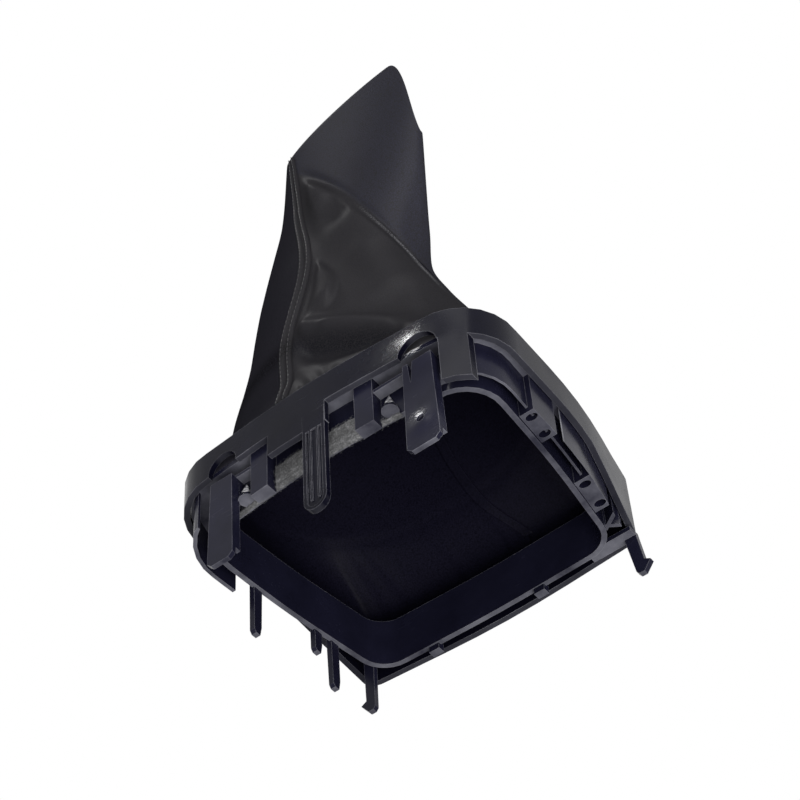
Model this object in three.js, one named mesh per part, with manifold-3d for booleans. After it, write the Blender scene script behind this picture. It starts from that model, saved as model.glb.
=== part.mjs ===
// Gear lever gaiter: a sewn leatherette boot with a collapsed sleeve, held in a moulded bezel by a
// clipped retaining ring. Millimetres. X runs across the bezel, -Y is its front side and +Z points up
// the boot. The origin is the middle of the footprint, level with the lowest tips of the clips.
import * as THREE from 'three';
import { mergeVertices } from 'three/addons/utils/BufferGeometryUtils.js';
import Module from 'manifold-3d';

const wasm = await Module();
wasm.setup();

// Fits shared by all pieces
const clearance = 0.3;

// Retaining ring: the opening narrows towards the back
const openingFrontWidth = 132;
const openingBackWidth = 113;
const openingDepth = 102.6;
const openingFrontBow = 3;
const openingSideBow = 1;
const openingFrontRadius = 16;
const openingBackRadius = 12;
const ringWall = 2.2;
const ringHeight = 24;
const flangeThickness = 2.4;

// Bezel band round the ring, seen from the front as a smooth upright strip
const bezelShift = -2;
const bezelWall = 2.6;
const bezelTop = 35;
const bezelFrontMargin = 10.7;
const bezelBackMargin = 9.7;
const bezelFrontFlank = 14.5;
const bezelBackFlank = 10.5;
const bezelFrontRadius = 25;
const bezelBackRadius = 7;
const bezelFrontBow = 2.5;
const bezelSideBow = 3;
const bandFrontEdge = 20;
const bandBackEdge = 4;
const bandDropStart = 18;
const bandDropEnd = 56;
const archHeight = 8;
const archClearance = 1.2;

// Channel wall outside the ring's front corners and right side. Two solid bridges with blind pockets, a
// V rib and a thin inner wall stand in the channel, and a long open loop stands on its outer side.
const channelGap = 7;
const channelWall = 1.6;
const channelEdge = 1.5;
const channelStart = 57;
const channelEnd = 50;
const leftChannelStart = 62;
const leftChannelEnd = -22;
const thinWallGap = 3;
const thinWall = 0.9;
const thinWallEdge = 4;
const frontBridgeStart = -24;
const frontBridgeEnd = -8;
const backBridgeStart = 17;
const backBridgeEnd = 35;
const pocketRadius = 1.7;
const pocketDepth = 6;
const ribThickness = 1.5;
const ribPlace = 44;
const ribLean = 0.6;
const loopLength = 22;
const loopWidth = 5;
const loopRim = 1.1;
const loopThickness = 1.4;
const loopLean = 0.6;
const loopPlace = -2;
const loopHeight = 10;

// The two long clips at the front: a plate with two side rims, open at a notch near its top
const rightClip = 48;
const rightClipWidth = 13;
const leftClip = -46;
const leftClipWidth = 10.5;
const rightClipDrop = 36;
const leftClipDrop = 33;
const clipLean = 1;
const clipTop = 13;
const clipRoot = 9;
const clipFlare = 1.6;
const clipWall = 2;
const clipDepth = 4.6;
const clipRim = 1.7;
const clipNotchWidth = 2.4;
const clipNotchDepth = 12;
const clipNotchInset = 3.4;
const clipCut = 5;
const clipDimple = 1.7;
const clipDimplePlace = 15;

// The bezel's own tabs: a wide one that carries a spade-ended tongue, and a narrow one at the corner
const wideTabLeft = -22;
const wideTabRight = 6;
const wideTabEdge = 9;
const cornerTabLeft = 57;
const cornerTabRight = 67;
const cornerTabEdge = -4;
const tongueWidth = 10.5;
const tongueCentre = 0.5;
const tongueDrop = 36;
const tongueRim = 1.6;
const tongueRib = 0.9;

// Posts, ledge, lugs and prongs on the ring
const postWidth = 8.5;
const postCentre = 21.5;
const postDrop = 3;
const postThickness = 2.6;
const leftPostCentre = -29;
const ledgeHeight = 13;
const ledgeThickness = 1.6;
const ledgeReach = 3.4;
const lugRadius = 3.4;
const lugHeight = 8.5;
const lugStand = 3;
const rightLug = 31.5;
const leftLug = -37.5;
const prongWidth = 5.4;
const prongThickness = 2.4;
const barbReach = 2.6;
const barbHeight = 6;
const footThickness = 2.2;
const footReach = 18;
const prongStand = 0.4;
const backProngStand = 4.7;
const backProngReach = 3.7;
const cornerProngInset = 2.3;
const cornerProngReach = 1.3;
const backTabWidth = 5;
const backTabDrop = 3;
const backTabStand = 1.2;
const rightBackTab = 21;
const leftBackTab = -31;

// Boot
const leather = 1.4;
const bootTop = 261.5;
const blendRise = 26;
const rimCut = 60;
const rimCutStart = 0.6;
const farRimCutStart = 0;
const farRimCutEnd = 0.75;
const seamWidth = 6.5;
const seamHeight = 1;
const seamGap = 0.6;
const seamEnd = 4;

// The long fold that crosses the near face from its upper left to its lower right: the leather under
// it stands out as a soft roll, and a second roll runs round the foot
const foldStand = 3.5;
const foldEdge = 20;
const foldLength = 60;
const footRollHeight = 52;
const footRollSpread = 9;
const footRollStand = 3;

// Hem backing
const hemThickness = 1.2;
const hemLow = 0.8;
const hemHigh = 9.5;
const hemLeft = -24;
const hemRight = 16;

// Surface fineness
const sideSteps = 8;
const cornerSteps = 7;
const roundSteps = 24;
const bootRows = 40;
const panelColumns = 32;
const seamRows = 44;
const seamColumns = 4;

// Turns a closed geometry into a solid that can be joined and cut
function solid(geometry) {
  const bare = geometry.index ? geometry.toNonIndexed() : geometry.clone();
  for (const name of Object.keys(bare.attributes)) {
    if (name !== 'position') bare.deleteAttribute(name);
  }
  const merged = mergeVertices(bare, 1e-4);
  return new wasm.Manifold(new wasm.Mesh({
    numProp: 3,
    vertProperties: new Float32Array(merged.attributes.position.array),
    triVerts: new Uint32Array(merged.index.array),
  }));
}

function join(parts) {
  return parts.reduce((whole, part) => whole.add(part));
}

function geometryOf(body) {
  const out = body.getMesh();
  const geometry = new THREE.BufferGeometry();
  geometry.setAttribute('position', new THREE.BufferAttribute(new Float32Array(out.vertProperties), 3));
  geometry.setIndex(new THREE.BufferAttribute(new Uint32Array(out.triVerts), 1));
  geometry.computeVertexNormals();
  return geometry;
}

// A closed outline of a four-sided frame: each corner is an arc and each side bows out a little
function frameOutline(frame, grow = 0) {
  const { shift = 0, front, back, frontWidth, backWidth, frontRadius, backRadius } = frame;
  const bows = [frame.frontBow, frame.sideBow, frame.sideBow, frame.sideBow];
  const corners = [
    [shift - frontWidth / 2, front, frontRadius], [shift + frontWidth / 2, front, frontRadius],
    [shift + backWidth / 2, back, backRadius], [shift - backWidth / 2, back, backRadius],
  ];
  const points = [];
  corners.forEach(([x, y, radius], i) => {
    const here = new THREE.Vector2(x, y);
    const before = new THREE.Vector2(...corners[(i + 3) % 4].slice(0, 2));
    const after = new THREE.Vector2(...corners[(i + 1) % 4].slice(0, 2));
    const next = corners[(i + 1) % 4];
    const toBefore = before.clone().sub(here).normalize();
    const toAfter = after.clone().sub(here).normalize();
    const half = Math.acos(toBefore.dot(toAfter)) / 2;
    const setback = radius / Math.tan(half);
    const centre = here.clone().addScaledVector(
      toBefore.clone().add(toAfter).normalize(), radius / Math.sin(half));
    const start = here.clone().addScaledVector(toBefore, setback);
    const startAngle = Math.atan2(start.y - centre.y, start.x - centre.x);
    const turn = Math.PI - 2 * half;
    for (let k = 0; k <= cornerSteps; k++) {
      const angle = startAngle + turn * k / cornerSteps;
      points.push(new THREE.Vector2(
        centre.x + radius * Math.cos(angle), centre.y + radius * Math.sin(angle)));
    }
    const length = here.distanceTo(after);
    const nextSetback = setback * next[2] / radius;
    const outward = new THREE.Vector2(toAfter.y, -toAfter.x);
    for (let k = 1; k < sideSteps; k++) {
      const run = setback + (length - setback - nextSetback) * k / sideSteps;
      const share = k / sideSteps;
      points.push(here.clone().addScaledVector(toAfter, run)
        .addScaledVector(outward, bows[i] * Math.sin(Math.PI * share) ** 1.2));
    }
  });
  return offsetOutline(points, grow);
}

function offsetOutline(points, grow) {
  const count = points.length;
  return points.map((point, i) => {
    const before = points[(i + count - 1) % count];
    const after = points[(i + 1) % count];
    const along = after.clone().sub(before).normalize();
    return point.clone().add(new THREE.Vector2(along.y, -along.x).multiplyScalar(grow));
  });
}

function plate(outer, inner, low, high) {
  const shape = new THREE.Shape(outer);
  if (inner) shape.holes.push(new THREE.Path(inner));
  const geometry = new THREE.ExtrudeGeometry(shape, { depth: high - low, bevelEnabled: false });
  geometry.translate(0, 0, low);
  return solid(geometry);
}

// A block between two corners
function block(x0, x1, y0, y1, z0, z1) {
  const geometry = new THREE.BoxGeometry(x1 - x0, y1 - y0, z1 - z0);
  geometry.translate((x0 + x1) / 2, (y0 + y1) / 2, (z0 + z1) / 2);
  return solid(geometry);
}

// An outline drawn from the front (across, up), given a thickness and set at a place and heading.
// Heading 0 faces the front side, and a positive heading turns it anticlockwise from above.
function standingPlate(outline, thickness, x, y, heading = 0) {
  const shape = new THREE.Shape(outline.map(([across, up]) => new THREE.Vector2(across, up)));
  const geometry = new THREE.ExtrudeGeometry(shape, { depth: thickness, bevelEnabled: false });
  geometry.translate(0, 0, -thickness / 2);
  geometry.rotateX(Math.PI / 2);
  geometry.rotateZ(heading);
  geometry.translate(x, y, 0);
  return solid(geometry);
}

// Where the ray from the origin at an angle meets an outline
function outlineAt(outline, angle) {
  const ray = new THREE.Vector2(Math.cos(angle), Math.sin(angle));
  for (let i = 0; i < outline.length; i++) {
    const a = outline[i];
    const b = outline[(i + 1) % outline.length];
    const edge = b.clone().sub(a);
    const across = ray.cross(edge);
    if (Math.abs(across) < 1e-9) continue;
    const reach = a.cross(edge) / across;
    const share = a.cross(ray) / across;
    if (reach > 0 && share >= -1e-9 && share <= 1 + 1e-9) return ray.clone().multiplyScalar(reach);
  }
  throw new Error('the outline does not go round the origin');
}

const opening = {
  front: -openingDepth / 2,
  back: openingDepth / 2,
  frontWidth: openingFrontWidth,
  backWidth: openingBackWidth,
  frontRadius: openingFrontRadius,
  backRadius: openingBackRadius,
  frontBow: openingFrontBow,
  sideBow: openingSideBow,
};
const bezelFront = opening.front - bezelFrontMargin;
const bezelFrontWidth = openingFrontWidth + 2 * bezelFrontFlank;
const band = {
  shift: bezelShift,
  front: bezelFront,
  back: opening.back + bezelBackMargin,
  frontWidth: bezelFrontWidth,
  backWidth: openingBackWidth + 2 * bezelBackFlank,
  frontRadius: bezelFrontRadius,
  backRadius: bezelBackRadius,
  frontBow: bezelFrontBow,
  sideBow: bezelSideBow,
};
const ringFront = opening.front - openingFrontBow - ringWall;
const hemFront = ringFront - clearance - hemThickness;
const hangingFace = hemFront - clearance;
const farOut = bezelFrontWidth;

// Half the ring's outer width at a place along its depth
function ringSide(along) {
  const share = (along - opening.front) / openingDepth;
  const width = openingFrontWidth + (openingBackWidth - openingFrontWidth) * share;
  return width / 2 + ringWall + openingSideBow / 2;
}

// Where the ring's bowed front face lies at a place across
function frontFace(across) {
  const straight = openingFrontWidth / 2 - openingFrontRadius;
  return opening.front - ringWall - openingFrontBow * Math.cos(Math.PI * across / straight / 2) ** 1.2;
}

// The bezel: a band whose lower edge drops towards the back, cleared by two arches over the long clips,
// with two tabs that carry on its front face and a tongue
function bezel() {
  const outer = frameOutline(band);
  const inner = frameOutline(band, -bezelWall);
  const wall = plate(outer, inner, bandBackEdge, bezelTop);
  const under = [
    [-farOut, -1], [bandDropEnd, -1], [bandDropEnd, bandBackEdge],
    [bandDropStart, bandFrontEdge], [-farOut, bandFrontEdge],
  ];
  const trim = standingPlate(under, 2 * farOut, 0, 0, Math.PI / 2);
  const arches = [[rightClip, rightClipWidth], [leftClip, leftClipWidth]].map(([centre, width]) => {
    const radius = (width + clipFlare) / 2 + archClearance;
    const arch = new THREE.CylinderGeometry(radius, radius, 6 * bezelWall, 2 * roundSteps);
    arch.translate(centre, bezelFront, 0);
    return solid(arch).translate([0, 0, bandFrontEdge + archHeight - radius]);
  });
  const cleared = arches.reduce((body, arch) => body.subtract(arch), wall.subtract(trim));
  const tabTop = bezelTop - bezelWall;
  const skirt = plate(outer, inner, cornerTabEdge, tabTop);
  const tab = (left, right, edge) => skirt.intersect(block(left, right, -farOut, 0, edge, tabTop));
  return join([
    cleared, tab(wideTabLeft, wideTabRight, wideTabEdge),
    tab(cornerTabLeft, cornerTabRight, cornerTabEdge), ...spadeTongue(),
  ]);
}

function spadeOutline(half, low, top) {
  const outline = [[-half, top]];
  for (let k = 0; k <= roundSteps / 2; k++) {
    const angle = Math.PI + Math.PI * k / (roundSteps / 2);
    outline.push([half * Math.cos(angle), low + half + half * Math.sin(angle)]);
  }
  outline.push([half, top]);
  return outline;
}

// A tongue with a rounded end, a raised rim and two ribs in its hollow front
function spadeTongue() {
  const half = tongueWidth / 2;
  const back = bezelFront - bezelFrontBow + bezelWall;
  const middle = back - bezelWall / 2;
  const inside = spadeOutline(half - tongueRim, -tongueDrop + tongueRim, wideTabEdge - tongueRim);
  const whole = spadeOutline(half, -tongueDrop, bezelTop / 2);
  const face = standingPlate(whole, bezelWall, tongueCentre, middle)
    .subtract(standingPlate(inside, bezelWall / 2, tongueCentre, middle - bezelWall / 2));
  const ribs = [-1, 1].map((side) => {
    const x = tongueCentre + side * half / 3;
    return block(x - tongueRib / 2, x + tongueRib / 2, back - bezelWall, back - bezelWall / 4,
      -tongueDrop + half, wideTabEdge);
  });
  return [face, ...ribs];
}

// One front clip: its root crosses to the ring's wall, and it leans out a little towards its tip.
// The right one has a narrow notch at its top and a dimple, the left one is plain.
function longClip(centre, width, drop, plain = false) {
  const half = width / 2;
  const low = -drop - clipTop;
  const wide = half + clipFlare;
  const cut = low + clipCut;
  const plateMiddle = -clipDepth + clipWall / 2;
  const face = [
    [-half, 0], [-half, low + clipWall], [-half + clipWall, low], [wide - clipWall, low],
    [wide, low + clipWall], [wide, cut], [half, 0],
  ];
  const slit = -half + clipNotchInset;
  const notch = [
    [slit - clipNotchWidth / 2, 1], [slit, -clipNotchDepth], [slit + clipNotchWidth / 2, 1],
  ];
  const leftRim = [[-half, 0], [-half, cut], [-half + clipRim, cut], [-half + clipRim, 0]];
  const rightRim = [[half - clipRim, 0], [wide - clipRim, cut], [wide, cut], [half, 0]];
  const dimple = new THREE.CylinderGeometry(clipDimple, clipDimple, clipWall, roundSteps);
  dimple.translate(0, -clipDepth, low + clipDimplePlace);
  const blank = standingPlate(face, clipWall, 0, plateMiddle);
  const plateBody = plain ? blank : blank
    .subtract(standingPlate(notch, 3 * clipWall, 0, plateMiddle))
    .subtract(solid(dimple));
  const rims = [leftRim, rightRim].map((rim) => standingPlate(rim, clipDepth, 0, -clipDepth / 2));
  const lean = THREE.MathUtils.radToDeg(Math.atan2(clipLean, drop + clipTop));
  const clip = join([plateBody, ...rims]).rotate([-lean, 0, 0]).translate([centre, hangingFace, clipTop]);
  const root = block(
    centre - half, centre + half, hangingFace - clipWall, opening.front, clipTop - clipRoot, clipTop);
  return clip.add(root);
}

// A lug on the front wall: a cone with its flat end down, sunk into the wall at its back
function lug(x) {
  const geometry = new THREE.ConeGeometry(lugRadius, lugHeight, roundSteps);
  geometry.rotateX(Math.PI / 2);
  geometry.translate(x, frontFace(x) - lugStand, lugHeight / 2);
  return solid(geometry);
}

function post(centre) {
  const body = block(centre - postWidth / 2, centre + postWidth / 2,
    hangingFace - postThickness, ringFront + ringWall / 2, -postDrop, ringHeight - flangeThickness / 2);
  return body.intersect(insideBand(-postDrop));
}

// A narrow shelf on the front wall between two places
function ledge(from, to) {
  return block(from, to, ringFront - ledgeReach, ringFront + ringWall / 2,
    ledgeHeight, ledgeHeight + ledgeThickness);
}

// A wall that follows the ring's outline at a distance, from a lower edge up to the flange
function followingWall(gap, thickness, edge) {
  return plate(frameOutline(opening, ringWall + gap + thickness), frameOutline(opening, ringWall + gap),
    edge, ringHeight - flangeThickness / 2);
}

// What fills the channel on the right between two places along the depth
function bridge(from, to) {
  const fill = plate(frameOutline(opening, ringWall + channelGap + channelWall / 2),
    frameOutline(opening, ringWall / 2), channelEdge, ringHeight - flangeThickness / 2);
  const body = fill.intersect(block(0, farOut, from, to, 0, ringHeight));
  const middle = ringWall + channelGap / 2;
  const pockets = [from + 1.8 * pocketRadius, to - 1.8 * pocketRadius].map((along) => {
    const pocket = new THREE.CylinderGeometry(pocketRadius, pocketRadius, 2 * pocketDepth, roundSteps);
    pocket.rotateX(Math.PI / 2);
    pocket.scale(1.5, 1, 1);
    pocket.translate(ringSide(along) - ringWall + middle, along, channelEdge);
    return solid(pocket);
  });
  return pockets.reduce((whole, pocket) => whole.subtract(pocket), body);
}

// Two thin plates meeting in a V near the back of the channel
function vRib() {
  const top = ringHeight - flangeThickness / 2;
  const outline = [[-ringWall, channelEdge], [channelGap + ringWall, channelEdge],
    [channelGap + ringWall, top], [-ringWall, top]];
  const inChannel = plate(frameOutline(opening, ringWall + channelGap + channelWall / 2),
    frameOutline(opening, ringWall / 2), 0, ringHeight);
  return [-ribLean, ribLean].map((lean) => standingPlate(
    outline, ribThickness, ringSide(ribPlace), ribPlace, lean).intersect(inChannel));
}

// An open loop like a long link, standing on the channel wall's outer side
function sideLoop() {
  const link = (half, reach) => {
    const points = [];
    for (const end of [-1, 1]) {
      for (let k = 0; k <= roundSteps / 2; k++) {
        const angle = end * Math.PI / 2 + Math.PI * k / (roundSteps / 2) - Math.PI / 2;
        points.push([half * Math.cos(angle), end * reach + half * Math.sin(angle)]);
      }
    }
    return points;
  };
  const reach = (loopLength - loopWidth) / 2;
  const ring = standingPlate(link(loopWidth / 2, reach), loopThickness, 0, 0, Math.PI / 2)
    .subtract(standingPlate(link(loopWidth / 2 - loopRim, reach), 3 * loopThickness, 0, 0, Math.PI / 2));
  const outside = ringSide(loopPlace) + channelGap + channelWall + loopThickness / 2 - 0.3;
  const lean = THREE.MathUtils.radToDeg(loopLean);
  return ring.rotate([lean, 0, 0]).translate([outside, loopPlace, loopHeight]);
}

function channel() {
  const outer = followingWall(channelGap, channelWall, channelEdge);
  const thin = followingWall(thinWallGap, thinWall, thinWallEdge);
  const right = block(channelStart, farOut, -farOut, channelEnd, 0, ringHeight);
  const left = block(-farOut, -leftChannelStart, -farOut, leftChannelEnd, 0, ringHeight);
  const beforeBack = block(channelStart, farOut, -farOut, backBridgeStart, 0, ringHeight);
  return [
    outer.intersect(right), outer.intersect(left), thin.intersect(beforeBack),
    bridge(frontBridgeStart, frontBridgeEnd), bridge(backBridgeStart, backBridgeEnd),
    ...vRib(), sideLoop(),
  ].map((part) => part.intersect(insideBand(0)));
}

// The room inside the bezel band, from a height up to the flange's top
function insideBand(low) {
  return plate(frameOutline(band, -bezelWall - clearance), null, low, ringHeight);
}

// Latch prong with a barb towards its own positive side
function prong({ x, y, low, high, heading, barb = 0, slant = 0 }) {
  const half = prongWidth / 2;
  const outline = [
    [-half, high], [-half * 0.8 + slant, low + 1.5], [-half * 0.4 + slant, low],
    [half * 0.5 + slant, low], [half * 0.8 + slant + barb * barbReach, low + barbHeight * 0.75],
    [half * 0.8 + slant, low + barbHeight], [half, high],
  ];
  return standingPlate(outline, prongThickness, x, y, heading);
}

const backProng = {
  x: ringSide(opening.back) + backProngReach,
  y: opening.back + backProngStand,
  low: -19,
  high: bandBackEdge - clearance,
  heading: 0,
  barb: 1,
  slant: 2.5,
};

function latchProngs() {
  const high = ringHeight - flangeThickness / 2;
  const onLeftWall = (y) => ({ x: -ringSide(y) - prongStand, y, high, heading: Math.PI / 2 });
  const corner = opening.back - cornerProngInset;
  return [
    { ...onLeftWall(-18), low: -24 },
    { ...onLeftWall(16), low: -11 },
    { ...onLeftWall(25), low: -24, slant: 1 },
    { x: -ringSide(corner) - cornerProngReach, y: corner, low: -21, high, heading: Math.PI, barb: 1 },
    backProng,
  ].map(prong);
}

// The foot that carries the right back prong, under the bezel's lower edge
function backFoot() {
  return block(backProng.x - footReach, backProng.x + prongWidth / 2, opening.back,
    backProng.y + prongThickness / 2, bandBackEdge - clearance - footThickness, bandBackEdge - clearance);
}

// Small tabs under the back edge
function backTabs() {
  const y = opening.back + openingSideBow + ringWall;
  return [leftBackTab, rightBackTab].map((x) => block(
    x - backTabWidth / 2, x + backTabWidth / 2, y - ringWall, y + backTabStand,
    -backTabDrop, ringHeight / 2));
}

function retainingRing() {
  const parts = [
    plate(frameOutline(opening, ringWall), frameOutline(opening), 0, ringHeight),
    insideBand(ringHeight - flangeThickness),
    longClip(rightClip, rightClipWidth, rightClipDrop),
    longClip(leftClip, leftClipWidth, leftClipDrop, true),
    ...channel(),
    post(postCentre),
    post(leftPostCentre),
    ledge(postCentre, rightClip),
    ledge(leftClip, leftPostCentre),
    lug(rightLug),
    lug(leftLug),
    ...latchProngs(),
    backFoot(),
    ...backTabs(),
  ];
  const clear = plate(frameOutline(opening), null, -2 * rightClipDrop, 2 * ringHeight);
  return join(parts).subtract(clear);
}

// The boot's cross-sections: each is a turned oval, joined smoothly up the height. Above the bezel the
// leather draws in fast, and the sleeve at the top lies collapsed, parallel to the front.
const stations = [
  { z: 58, x: -4.5, y: -6, across: 67.5, deep: 50, turn: 0 },
  { z: 92, x: -8, y: -14, across: 53, deep: 38, turn: 0 },
  { z: 130, x: -15.5, y: -22, across: 46.5, deep: 24, turn: -2 },
  { z: 170, x: -8, y: -27, across: 47, deep: 14, turn: -5 },
  { z: 215, x: -1, y: -30, across: 46, deep: 8.5, turn: -8 },
  { z: bootTop, x: 6, y: -31, across: 44, deep: 6, turn: -8 },
];

// The long fold's edge on the near face: how high it lies at each place across
const foldCourse = [[-30, 240], [-13, 211], [4, 181], [30, 134], [56, 64]];

// How far across the front seam lies at each height
const seamCourse = [[30, -5], [60, -15], [88, -20], [145, -16], [200, -26], [bootTop, -35]];

const bootFoot = ringHeight + clearance;
const footOutline = frameOutline(band, -bezelWall - clearance);

// Smooth curve through [place, value] pairs
function through(pairs, place) {
  const last = pairs.length - 1;
  if (place <= pairs[0][0]) return pairs[0][1];
  if (place >= pairs[last][0]) return pairs[last][1];
  const i = pairs.findIndex(([at]) => at >= place);
  const [a, b] = [pairs[i - 1], pairs[i]];
  const before = pairs[Math.max(i - 2, 0)];
  const after = pairs[Math.min(i + 1, last)];
  const step = b[0] - a[0];
  const leaving = (b[1] - before[1]) / (b[0] - before[0]) * step;
  const arriving = (after[1] - a[1]) / (after[0] - a[0]) * step;
  const t = (place - a[0]) / step;
  return (2 * t ** 3 - 3 * t ** 2 + 1) * a[1] + (t ** 3 - 2 * t ** 2 + t) * leaving
    + (3 * t ** 2 - 2 * t ** 3) * b[1] + (t ** 3 - t ** 2) * arriving;
}

function stationValue(key, z) {
  return through(stations.map((station) => [station.z, station[key]]), z);
}

// The rim is cut lower towards the sleeve's right fold, on the far face over a longer stretch
function rimHeight(angle) {
  const near = THREE.MathUtils.clamp((Math.cos(angle) - rimCutStart) / (1 - rimCutStart), 0, 1) ** 2;
  const far = THREE.MathUtils.smoothstep(Math.cos(angle), farRimCutStart, farRimCutEnd);
  return bootTop - rimCut * (Math.sin(angle) > 0 ? far : near);
}

// How far the near face stands out in rolls at a place across and up
function rollStand(across, z) {
  const under = through(foldCourse, across) - z;
  const fold = THREE.MathUtils.smoothstep(under, 0, foldEdge)
    * (1 - THREE.MathUtils.smoothstep(under, foldEdge, foldLength));
  const foot = Math.exp(-(((z - footRollHeight) / footRollSpread) ** 2));
  return foldStand * fold + footRollStand * foot;
}

// A point of the boot: rise is 0 at the foot and 1 at the rim
function bootPoint(angle, rise, inward = 0) {
  const z = bootFoot + (rimHeight(angle) - bootFoot) * rise;
  const foot = outlineAt(footOutline, angle);
  foot.setLength(foot.length() - inward);
  const turn = THREE.MathUtils.degToRad(stationValue('turn', z));
  const oval = new THREE.Vector2((stationValue('across', z) - inward) * Math.cos(angle),
    (stationValue('deep', z) - inward) * Math.sin(angle));
  oval.rotateAround(new THREE.Vector2(), turn);
  oval.add(new THREE.Vector2(stationValue('x', z), stationValue('y', z)));
  const mix = THREE.MathUtils.smoothstep(z, bezelTop, bezelTop + blendRise);
  const at = foot.lerp(oval, mix);
  const near = THREE.MathUtils.smoothstep(-Math.sin(angle), 0.15, 0.8) * mix;
  return new THREE.Vector3(at.x, at.y - rollStand(at.x, z) * near, z);
}

// The front seam's angle round the boot, from how far across it lies
function seamAngle(rise) {
  const z = bootFoot + (bootTop - bootFoot) * rise;
  const across = (through(seamCourse, z) - stationValue('x', z)) / stationValue('across', z);
  return -Math.acos(THREE.MathUtils.clamp(across, -0.985, 1));
}

// A closed shell between two faces of the same grid
function shell(outer, inner) {
  const rows = outer.length - 1;
  const columns = outer[0].length - 1;
  const positions = [];
  const quad = (a, b, c, d) => {
    for (const p of [a, b, c, a, c, d]) positions.push(p.x, p.y, p.z);
  };
  for (let r = 0; r < rows; r++) {
    for (let c = 0; c < columns; c++) {
      quad(outer[r][c], outer[r][c + 1], outer[r + 1][c + 1], outer[r + 1][c]);
      quad(inner[r][c], inner[r + 1][c], inner[r + 1][c + 1], inner[r][c + 1]);
    }
    quad(outer[r][0], outer[r + 1][0], inner[r + 1][0], inner[r][0]);
    quad(outer[r][columns], inner[r][columns], inner[r + 1][columns], outer[r + 1][columns]);
  }
  for (let c = 0; c < columns; c++) {
    quad(outer[0][c], inner[0][c], inner[0][c + 1], outer[0][c + 1]);
    quad(outer[rows][c], outer[rows][c + 1], inner[rows][c + 1], inner[rows][c]);
  }
  const geometry = new THREE.BufferGeometry();
  geometry.setAttribute('position', new THREE.BufferAttribute(new Float32Array(positions), 3));
  return solid(geometry);
}

function grid(rows, columns, place) {
  const row = (r) => Array.from({ length: columns + 1 }, (_, c) => place(r / rows, c / columns));
  return Array.from({ length: rows + 1 }, (_, r) => row(r));
}

// Half of the boot, from one seam round to the other
function panel(turned) {
  const face = (inward) => grid(bootRows, panelColumns, (rise, share) => {
    const girth = stationValue('across', bootFoot + (bootTop - bootFoot) * rise);
    const edge = seamGap / 2 / girth;
    return bootPoint(seamAngle(rise) + turned + edge + (Math.PI - 2 * edge) * share, rise, inward);
  });
  return shell(face(0), face(leather));
}

// A raised strip along a seam, lying on the leather
function seam(turned) {
  const low = (bezelTop + seamEnd - bootFoot) / (bootTop - bootFoot);
  const high = 1 - seamEnd / bootTop;
  const face = (lift) => grid(seamRows, seamColumns, (rise, share) => {
    const at = low + (high - low) * rise;
    const angle = seamAngle(at) + turned;
    const middle = bootPoint(angle, at);
    const along = bootPoint(angle, at + 0.01).sub(bootPoint(angle, at - 0.01)).normalize();
    const girth = stationValue('across', middle.z);
    const beside = (share - 0.5) * seamWidth / girth;
    const spot = bootPoint(angle + beside, at);
    const round = bootPoint(angle + beside + 0.02, at)
      .sub(bootPoint(angle + beside - 0.02, at)).normalize();
    const out = round.clone().cross(along).normalize();
    return spot.addScaledVector(out, lift);
  });
  return shell(face(clearance + seamHeight), face(clearance));
}

// Textile back of the hem, folded round the ring's front wall
function hemBacking() {
  const strip = plate(frameOutline(opening, ringWall + clearance + hemThickness),
    frameOutline(opening, ringWall + clearance), hemLow, hemHigh);
  return strip.intersect(block(hemLeft, hemRight, -farOut, 0, 0, ringHeight));
}

function finish(color, roughness, metalness = 0) {
  return new THREE.MeshStandardMaterial({ color, roughness, metalness });
}

const gaiter = new THREE.Group();

function add(name, body, material) {
  const mesh = new THREE.Mesh(geometryOf(body), material);
  mesh.name = name;
  gaiter.add(mesh);
}

const leatherette = finish(0x2b2a2f, 0.6);
add('bezel', bezel(), finish(0x23242d, 0.35));
add('retaining_ring', retainingRing(), finish(0x1f202a, 0.45));
add('right_panel', panel(0), leatherette);
add('left_panel', panel(Math.PI), leatherette);
add('front_seam', seam(0), leatherette);
add('rear_seam', seam(Math.PI), leatherette);
add('hem_backing', hemBacking(), finish(0x6d6d6f, 0.95));

// The middle of the whole footprint comes to the origin, and the lowest tip to height 0
const extent = new THREE.Box3().setFromObject(gaiter);
const middle = extent.getCenter(new THREE.Vector3());
gaiter.position.set(-middle.x, -middle.y, -extent.min.z);

export default gaiter;
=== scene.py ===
"""Gear lever gaiter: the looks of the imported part.

A sewn leatherette boot with a collapsed sleeve stands in a moulded bezel, held by a clipped retaining ring.
Metres, in the part's own frame: +Z runs up the boot and -Y is the side with the two long clips.
"""
import math

import bmesh
import bpy
import numpy as np
from bpy.props import FloatProperty, FloatVectorProperty, IntProperty, PointerProperty
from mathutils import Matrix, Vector, noise


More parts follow.
